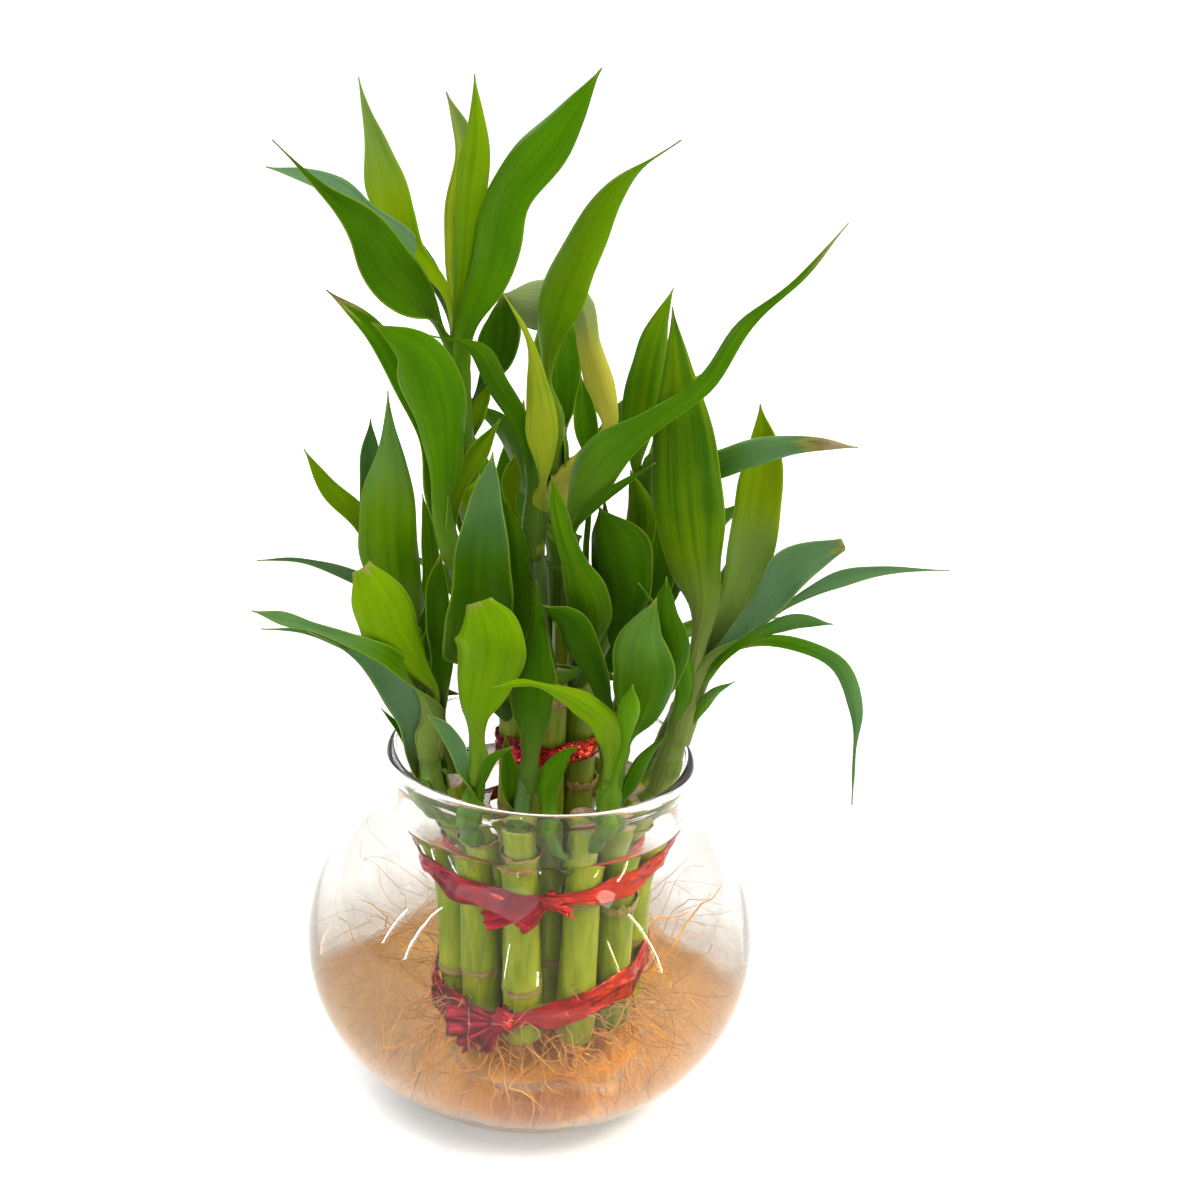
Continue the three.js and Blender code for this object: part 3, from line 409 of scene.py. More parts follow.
def make_leaf_material(ribs, speckle):
    material, tree, shader = node_tree_of("leaf blade")
    place = add(tree, "ShaderNodeSeparateXYZ")
    link(tree, add(tree, "ShaderNodeUVMap", uv_map="blade").outputs["UV"], place.inputs[0])
    across, along = place.outputs["X"], place.outputs["Y"]
    tone = attribute(tree, "tone")
    pattern = add(tree, "ShaderNodeGroup", node_tree=ribs)
    link(tree, across, pattern.inputs["Across"])
    link(tree, along, pattern.inputs["Along"])
    link(tree, attribute(tree, "seed"), pattern.inputs["Seed"])
    spots = add(tree, "ShaderNodeGroup", node_tree=speckle)
    link(tree, object_place(tree), spots.inputs["Place"])
    stripe, fine_rib = pattern.outputs["Broad Stripe"], pattern.outputs["Fine Rib"]
    cloud = ramp(tree, noise_of(tree, object_place(tree), 34, 2), 0.3, 0.7)

    lower_tone, upper_tone = ramp(tree, tone, 0.0, 0.45), ramp(tree, tone, 0.45, 1.0)
    deep = blend_colour(tree, lower_tone, (0.010, 0.044, 0.0004), (0.030, 0.112, 0.0004))
    deep = blend_colour(tree, upper_tone, deep, (0.130, 0.250, 0.001))
    light = blend_colour(tree, lower_tone, (0.036, 0.112, 0.0006), (0.092, 0.240, 0.0006))
    light = blend_colour(tree, upper_tone, light, (0.270, 0.440, 0.002))
    # Broad stripes and a random cloud mix the deep and the light green: real stripes that also stand in for
    # painted light and shade on the blade's long folds.
    shade = maths(tree, "ADD", maths(tree, "MULTIPLY", stripe, 0.45), maths(tree, "MULTIPLY", cloud, 0.55))
    colour = blend_colour(tree, shade, deep, light)
    colour = blend_colour(tree, maths(tree, "MULTIPLY", fine_rib, 0.14), colour, light)
    colour = blend_colour(tree, maths(tree, "MULTIPLY", spots.outputs["Blotch"], 0.2), colour, deep)
    gold = attribute(tree, "gold")
    banding = maths(tree, "ADD", maths(tree, "MULTIPLY", stripe, 0.5), maths(tree, "MULTIPLY", cloud, 0.4))
    banding = maths(tree, "ADD", banding, maths(tree, "MULTIPLY", fine_rib, 0.1))
    banding = maths(tree, "ADD", banding, ramp(tree, gold, 0.3, 1.0, 0.0, 0.5))
    gilded = maths(tree, "MULTIPLY", ramp(tree, banding, 0.3, 0.8), ramp(tree, gold, 0.0, 0.6), clamp=True)
    golden = blend_colour(tree, ramp(tree, gold, 0.75, 1.0), (0.180, 0.262, 0.002), (0.52, 0.47, 0.06))
    colour = blend_colour(tree, gilded, colour, golden)
    # Painted sheen: a bluish-grey painted reflection blended into the colour, as strong as the leaf's sheen
    # attribute.
    painted_sheen_mask = maths(tree, "MULTIPLY", attribute(tree, "cool"), ramp(tree, cloud, 0.0, 1.0, 0.6, 1.0))
    colour = blend_colour(tree, painted_sheen_mask, colour, (0.130, 0.235, 0.135))
    colour = blend_colour(tree, maths(tree, "MULTIPLY", pattern.outputs["Midrib"], 0.2), colour, light)
    foot_pale = maths(tree, "MULTIPLY", ramp(tree, along, 0.15, 0.42, 1.0, 0.0), attribute(tree, "pale"))
    foot_colour = blend_colour(tree, fine_rib, (0.130, 0.180, 0.035), (0.215, 0.260, 0.070))
    colour = blend_colour(tree, foot_pale, colour, foot_colour)
    edge = maths(tree, "MULTIPLY", pattern.outputs["Margin"], 0.35)
    colour = blend_colour(tree, edge, colour, (0.30, 0.40, 0.03))
    dryness = attribute(tree, "dryness")
    wander = maths(tree, "MULTIPLY", maths(tree, "SUBTRACT", stripe, 0.5), 0.08)
    tip = maths(tree, "SUBTRACT", along, maths(tree, "SUBTRACT", 1.0, dryness))
    tip = maths(tree, "ADD", tip, wander)
    colour = blend_colour(tree, ramp(tree, tip, -0.03, 0.02), colour, (0.26, 0.24, 0.05))
    withered = blend_colour(tree, ramp(tree, cloud, 0.3, 0.8), (0.13, 0.09, 0.04), (0.36, 0.28, 0.15))
    colour = blend_colour(tree, ramp(tree, tip, 0.01, 0.06), colour, withered)
    dots = maths(tree, "MULTIPLY", spots.outputs["Dots"], 0.25)
    colour = blend_colour(tree, dots, colour, (0.03, 0.05, 0.001))
    link(tree, colour, shader.inputs["Base Color"])
    link(tree, ramp(tree, fine_rib, 0.0, 1.0, 0.34, 0.46), shader.inputs["Roughness"])
    shader.inputs["Subsurface Weight"].default_value = 0.10
    shader.inputs["Subsurface Radius"].default_value = (0.5, 1.0, 0.02)
    shader.inputs["Subsurface Scale"].default_value = 0.0015
    shader.inputs["Specular IOR Level"].default_value = 0.07
    shader.inputs["Specular Tint"].default_value = (0.8, 1.0, 0.2, 1)
    height = maths(tree, "ADD", maths(tree, "MULTIPLY", fine_rib, 0.5), maths(tree, "MULTIPLY", stripe, 0.5))
    bump(tree, shader, height, 0.35, 0.0005)
    return material


def make_cane_material(speckle):
    material, tree, shader = node_tree_of("cane skin")
    place = object_place(tree)
    spots = add(tree, "ShaderNodeGroup", node_tree=speckle)
    link(tree, place, spots.inputs["Place"])
    tone = attribute(tree, "tone")
    scar = attribute(tree, "scar")
    cut = attribute(tree, "cut")
    long_place = add(tree, "ShaderNodeMapping")
    long_place.inputs["Scale"].default_value = (1, 1, 0.12)
    link(tree, place, long_place.inputs["Vector"])
    streak = noise_of(tree, long_place.outputs[0], 420, 2)
    green = blend_colour(tree, tone, (0.060, 0.105, 0.004), (0.21, 0.28, 0.005))
    pale = blend_colour(tree, tone, (0.15, 0.20, 0.010), (0.38, 0.42, 0.020))
    colour = blend_colour(tree, ramp(tree, streak, 0.35, 0.7), green, pale)
    colour = blend_colour(tree, maths(tree, "MULTIPLY", spots.outputs["Blotch"], 0.3), colour, green)
    ragged = maths(tree, "ADD", scar, maths(tree, "MULTIPLY", maths(tree, "SUBTRACT", streak, 0.5), 0.7))
    colour = blend_colour(tree, ramp(tree, ragged, 0.35, 0.75, 0.0, 0.8), colour, (0.20, 0.14, 0.035))
    colour = blend_colour(tree, ramp(tree, ragged, 0.8, 1.0, 0.0, 0.7), colour, (0.30, 0.20, 0.08))
    face = blend_colour(tree, ramp(tree, noise_of(tree, place, 700, 3), 0.35, 0.65),
                        (0.30, 0.17, 0.10), (0.55, 0.38, 0.27))
    colour = blend_colour(tree, ramp(tree, cut, 0.4, 0.6), colour, face)
    dots = maths(tree, "MULTIPLY", spots.outputs["Dots"], 0.5)
    colour = blend_colour(tree, dots, colour, (0.06, 0.05, 0.02))
    link(tree, colour, shader.inputs["Base Color"])
    link(tree, ramp(tree, ragged, 0.3, 0.7, 0.33, 0.75), shader.inputs["Roughness"])
    shader.inputs["Specular IOR Level"].default_value = 0.3
    shader.inputs["Subsurface Weight"].default_value = 0.10
    shader.inputs["Subsurface Radius"].default_value = (0.6, 1.0, 0.2)
    shader.inputs["Subsurface Scale"].default_value = 0.002
    height = maths(tree, "ADD", streak, maths(tree, "MULTIPLY", spots.outputs["Blotch"], 0.4))
    bump(tree, shader, height, 0.35, 0.0003)
    return material


def make_sheath_material(ribs, speckle):
    """The clasping foot of a leaf, and the young stem that it wraps."""
    material, tree, shader = node_tree_of("leaf sheath")
    place = add(tree, "ShaderNodeSeparateXYZ")
    link(tree, add(tree, "ShaderNodeUVMap", uv_map="blade").outputs["UV"], place.inputs[0])
    pattern = add(tree, "ShaderNodeGroup", node_tree=ribs)
    link(tree, place.outputs["X"], pattern.inputs["Across"])
    link(tree, place.outputs["Y"], pattern.inputs["Along"])
    link(tree, attribute(tree, "seed"), pattern.inputs["Seed"])
    spots = add(tree, "ShaderNodeGroup", node_tree=speckle)
    link(tree, object_place(tree), spots.inputs["Place"])
    tone = attribute(tree, "tone")
    colour = blend_colour(tree, tone, (0.035, 0.095, 0.008), (0.15, 0.26, 0.020))
    pale = blend_colour(tree, tone, (0.085, 0.165, 0.035), (0.26, 0.36, 0.07))
    colour = blend_colour(tree, maths(tree, "MULTIPLY", pattern.outputs["Fine Rib"], 0.5), colour, pale)
    blotch = maths(tree, "MULTIPLY", spots.outputs["Blotch"], 0.25)
    colour = blend_colour(tree, blotch, colour, (0.03, 0.09, 0.005))
    husk = blend_colour(tree, pattern.outputs["Fine Rib"], (0.20, 0.12, 0.04), (0.46, 0.30, 0.13))
    colour = blend_colour(tree, ramp(tree, attribute(tree, "dryness"), 0.3, 0.8), colour, husk)
    link(tree, colour, shader.inputs["Base Color"])
    link(tree, ramp(tree, pattern.outputs["Fine Rib"], 0, 1, 0.34, 0.48), shader.inputs["Roughness"])
    shader.inputs["Specular IOR Level"].default_value = 0.25
    shader.inputs["Subsurface Weight"].default_value = 0.10
    shader.inputs["Subsurface Radius"].default_value = (0.5, 1.0, 0.15)
    shader.inputs["Subsurface Scale"].default_value = 0.0015
    bump(tree, shader, pattern.outputs["Fine Rib"], 0.3, 0.0003)
    return material


def lamps_pass(tree, shader, colour):
    """Lets rays from the lamps through a clear material, so that they light what stands behind it."""
    output = tree.nodes["Material Output"]
    clear = add(tree, "ShaderNodeBsdfTransparent")
    clear.inputs["Color"].default_value = (*colour, 1)
    switch = add(tree, "ShaderNodeMixShader")
    link(tree, add(tree, "ShaderNodeLightPath").outputs["Is Shadow Ray"], switch.inputs["Fac"])
    link(tree, shader.outputs[0], switch.inputs[1])
    link(tree, clear.outputs[0], switch.inputs[2])
    link(tree, switch.outputs[0], output.inputs["Surface"])


def make_glass_material():
    material, tree, shader = node_tree_of("vase glass")
    place = object_place(tree)
    shader.inputs["Base Color"].default_value = (0.920, 0.908, 0.902, 1)
    shader.inputs["Transmission Weight"].default_value = 1
    shader.inputs["IOR"].default_value = 1.48
    shader.inputs["Specular Tint"].default_value = (0.35, 0.35, 0.35, 1)
    smears = ramp(tree, noise_of(tree, place, 60, 4), 0.5, 0.75, 0.0, 0.045)
    link(tree, smears, shader.inputs["Roughness"])
    bump(tree, shader, noise_of(tree, place, 22, 2), 0.12, 0.002)
    lamps_pass(tree, shader, (0.955, 0.95, 0.95))
    return material


def make_water_material():
    material, tree, shader = node_tree_of("water")
    place = object_place(tree)
    shader.inputs["Base Color"].default_value = (0.95, 0.94, 0.925, 1)
    shader.inputs["Transmission Weight"].default_value = 1
    shader.inputs["IOR"].default_value = 1.33
    shader.inputs["Specular Tint"].default_value = (0.4, 0.4, 0.4, 1)
    shader.inputs["Roughness"].default_value = 0
    bump(tree, shader, noise_of(tree, place, 40, 1), 0.03, 0.001)
    lamps_pass(tree, shader, (0.965, 0.955, 0.94))
    return material


def make_root_material(name, deep, bright, fleck):
    material, tree, shader = node_tree_of(name)
    place = object_place(tree)
    patch = ramp(tree, noise_of(tree, place, 160, 4), 0.35, 0.65)
    colour = blend_colour(tree, patch, deep, bright)
    fine = ramp(tree, noise_of(tree, place, 2600, 2), 0.35, 0.7)
    colour = blend_colour(tree, maths(tree, "MULTIPLY", fine, 0.4), colour, fleck)
    link(tree, colour, shader.inputs["Base Color"])
    link(tree, ramp(tree, patch, 0, 1, 0.5, 0.7), shader.inputs["Roughness"])
    bump(tree, shader, fine, 0.3, 0.0001)
    return material


def make_felt_material():
    material, tree, shader = node_tree_of("root felt")
    place = object_place(tree)
    fade = attribute(tree, "fade")
    cloud = ramp(tree, noise_of(tree, place, 30, 4), 0.35, 0.65)
    colour = blend_colour(tree, cloud, (0.38, 0.205, 0.075), (0.57, 0.350, 0.135))
    fibre = ramp(tree, noise_of(tree, place, 420, 3, 0.6, 2.5), 0.45, 0.75)
    colour = blend_colour(tree, maths(tree, "MULTIPLY", fibre, 0.3), colour, (0.74, 0.56, 0.30))
    shifted = add(tree, "ShaderNodeVectorMath", operation="DISTANCE")
    link(tree, place, shifted.inputs[0])
    shifted.inputs[1].default_value = (0.010, 0.006, 0.012)
    glow = maths(tree, "ADD", shifted.outputs["Value"],
                 maths(tree, "MULTIPLY", maths(tree, "SUBTRACT", cloud, 0.5), 0.010))
    colour = blend_colour(tree, ramp(tree, glow, 0.018, 0.040, 0.95, 0.0), colour, (0.66, 0.260, 0.002))
    rim = maths(tree, "MULTIPLY", ramp(tree, fade, 0.12, 0.3), ramp(tree, fade, 0.3, 0.5, 1.0, 0.0))
    colour = blend_colour(tree, maths(tree, "MULTIPLY", rim, 0.5), colour, (0.40, 0.21, 0.09))
    colour = blend_colour(tree, ramp(tree, fade, 0.35, 0.6), colour, (0.50, 0.45, 0.38))
    link(tree, colour, shader.inputs["Base Color"])
    shader.inputs["Roughness"].default_value = 0.85
    shader.inputs["Specular IOR Level"].default_value = 0.1
    ragged = maths(tree, "ADD", fade,
                   maths(tree, "MULTIPLY", maths(tree, "SUBTRACT", noise_of(tree, place, 120, 4), 0.5), 0.5))
    veil = ramp(tree, ragged, 0.28, 0.5, 1.0, 0.4)
    alpha = maths(tree, "MULTIPLY", veil, ramp(tree, ragged, 0.6, 1.0, 1.0, 0.0))
    link(tree, alpha, shader.inputs["Alpha"])
    bump(tree, shader, fibre, 0.3, 0.0004)
    return material


def make_foil_material():
    material, tree, shader = node_tree_of("foil ribbon")
    place = object_place(tree)
    stretched = add(tree, "ShaderNodeMapping")
    stretched.inputs["Scale"].default_value = (1, 1, 2.6)
    link(tree, place, stretched.inputs["Vector"])
    folds = noise_of(tree, stretched.outputs[0], 170, 3, 0.5, 0.4)
    patch = ramp(tree, noise_of(tree, place, 130, 3), 0.35, 0.65)
    colour = blend_colour(tree, patch, (0.17, 0.002, 0.014), (0.42, 0.008, 0.018))
    # Painted warm light: the foil turns more orange towards +X, the side the warm light comes from.
    rightward = add(tree, "ShaderNodeSeparateXYZ")
    link(tree, place, rightward.inputs[0])
    painted_warm_light = ramp(tree, rightward.outputs["X"], -0.006, 0.026, 0.0, 0.8)
    colour = blend_colour(tree, painted_warm_light, colour, (0.54, 0.045, 0.005))
    # Painted shade in the fold valleys, then a painted highlight along the fold crests.
    colour = blend_colour(tree, ramp(tree, folds, 0.46, 0.30, 0.0, 0.75), colour, (0.07, 0.001, 0.008))
    colour = blend_colour(tree, ramp(tree, folds, 0.64, 0.72, 0.0, 0.45), colour, (0.80, 0.18, 0.10))
    link(tree, colour, shader.inputs["Base Color"])
    shader.inputs["Metallic"].default_value = 0.75
    link(tree, ramp(tree, folds, 0.3, 0.7, 0.12, 0.28), shader.inputs["Roughness"])
    bump(tree, shader, folds, 0.7, 0.0016)
    return material


def make_floor_material():
    """A white sweep: it glows a little, more so further out, so that it stays white to the picture's edge."""
    material, tree, shader = node_tree_of("pale floor")
    place = object_place(tree)
    shade = ramp(tree, noise_of(tree, place, 1.5, 2), 0.3, 0.7)
    link(tree, blend_colour(tree, shade, (0.82, 0.82, 0.82), (0.84, 0.84, 0.84)), shader.inputs["Base Color"])
    away = add(tree, "ShaderNodeVectorMath", operation="LENGTH")
    link(tree, place, away.inputs[0])
    shader.inputs["Emission Color"].default_value = (1, 1, 1, 1)
    glow = ramp(tree, away.outputs["Value"], 0.12, 0.7, FLOOR_GLOW_NEAR, FLOOR_GLOW_FAR)
    link(tree, glow, shader.inputs["Emission Strength"])
    shader.inputs["Roughness"].default_value = 0.6
    shader.inputs["Specular IOR Level"].default_value = 0.1
    return material


# The vase: a round bowl on a flat foot, a short upright neck and a thick rolled lip
def bowl_radius(z, inset):
    rise = (z - BOWL_MIDDLE_Z) / (BOWL_HALF_HEIGHT - inset)
    return (BOWL_RADIUS - inset) * math.sqrt(max(0, 1 - rise * rise))


def bowl_profile(low, high, inset, steps):
    half = BOWL_HALF_HEIGHT - inset
    first, last = (math.asin((z - BOWL_MIDDLE_Z) / half) for z in (low, high))
    heights = [BOWL_MIDDLE_Z + half * math.sin(mix(first, last, i / steps)) for i in range(steps + 1)]
    return [(bowl_radius(z, inset), z) for z in heights]


def arc(radius, z, across, upright, first, last, steps):
    """Points of an elliptic arc about (radius, z), between two angles in degrees."""
    turns = [math.radians(mix(first, last, i / steps)) for i in range(steps + 1)]
    return [(radius + across * math.cos(turn), z + upright * math.sin(turn)) for turn in turns]


def shoulder_profile(steps):
    """The hollow curve from the bowl into the upright neck."""
    start_r = bowl_radius(SHOULDER_Z, 0)
    end_z = NECK_FOOT_Z + 1.5
    slope = (bowl_radius(SHOULDER_Z - 0.5, 0) - start_r) / 0.5
    corner_z = SHOULDER_Z + (start_r - NECK_RADIUS) / slope
    points = []
    for i in range(steps + 1):
        t = i / steps
        r = (1 - t) ** 2 * start_r + (1 - (1 - t) ** 2) * NECK_RADIUS
        z = (1 - t) ** 2 * SHOULDER_Z + 2 * (1 - t) * t * corner_z + t * t * end_z
        points.append((r, z))
    return points


def drawn_in(profile, wall):
    """The profile moved inwards along its own normals, so that the wall is even."""
    points = [Vector((r, z)) for r, z in profile]
    inner = []
    for i, point in enumerate(points):
        along = (points[min(i + 1, len(points) - 1)] - points[max(i - 1, 0)]).normalized()
        inner.append(tuple(point + Vector((-along.y, along.x)) * wall))
    return inner


def bowl_wall():
    return bowl_profile(FLOOR_THICKNESS, SHOULDER_Z, 0, 44)[:-1] + shoulder_profile(10)


def make_vase(material):
    inner_neck = NECK_RADIUS - GLASS
    wall = bowl_wall()
    outside = [(0, 0.6), (22, 0.5), (bowl_radius(0, 0) - 2.5, 0)]
    outside += bowl_profile(0.6, FLOOR_THICKNESS, 0, 3)[:-1]
    neck = [(NECK_RADIUS, RIM_Z - 8), (NECK_RADIUS + 0.15, RIM_Z - 5)]
    lip_across = (LIP_RADIUS - inner_neck) / 2
    lip = arc(inner_neck + lip_across, RIM_Z - 2.2, lip_across, 2.2, -50, 200, 14)
    inside = [(inner_neck, RIM_Z - 4.5), (inner_neck, RIM_Z - 9)] + drawn_in(wall, GLASS)[::-1]
    foot_r = inside[-1][0]
    floor = [(foot_r - 4, FLOOR_THICKNESS + 0.4), (foot_r - 12, FLOOR_THICKNESS), (0, FLOOR_THICKNESS)]
    inside = [point for point in inside if point[1] > FLOOR_THICKNESS + 1]
    form = lathe(outside + wall + neck + lip + inside + floor, VASE_STEPS)
    return new_piece("vase", form, [material], ["glass_vase"])


def make_water(material):
    """The water fills the bowl up to its surface, and wets the wall: its skin lies just inside the glass."""
    wet = GLASS - 0.35
    floor_z = FLOOR_THICKNESS - 0.35
    skin = drawn_in(bowl_wall(), wet)
    foot_r = skin[0][0]
    floor = [(0, floor_z), (foot_r - 12, floor_z), (foot_r - 4, floor_z + 0.4)]
    skin = [point for point in skin if floor_z + 1 < point[1] < WATER_Z - 0.3]
    surface_r = skin[-1][0]
    surface = [(surface_r - 0.1, WATER_Z), (surface_r - 1.2, WATER_Z - 0.35), (surface_r - 3, WATER_Z - 0.5)]
    form = lathe(floor + skin + surface + [(0, WATER_Z - 0.5)], VASE_STEPS)
    return new_piece("water_body", form, [material], ["water"])


# The canes and their shoots, with the same rows as the solids have. The points, width and shape of a row with
# a shape were worked out by a separate program, from outline points read by eye off the photograph.
def arching(row):
    """A leaf of the side away from the viewer, given by the way it grows out instead of by its points."""
    leaf = dict(row)
    azimuth, root, reach, rise = (leaf.pop(key) for key in ("azimuth", "root", "reach", "rise"))
    droop = leaf.pop("droop", 0)
    via = []
    for share in (0.34, 0.67, 1):
        point = Vector(root) + polar(reach * share ** 1.25, azimuth, 0)
        via.append((point.x, point.y, point.z + rise * share - droop * share * share))
    return {"via": via, "face": azimuth + 180, **leaf}
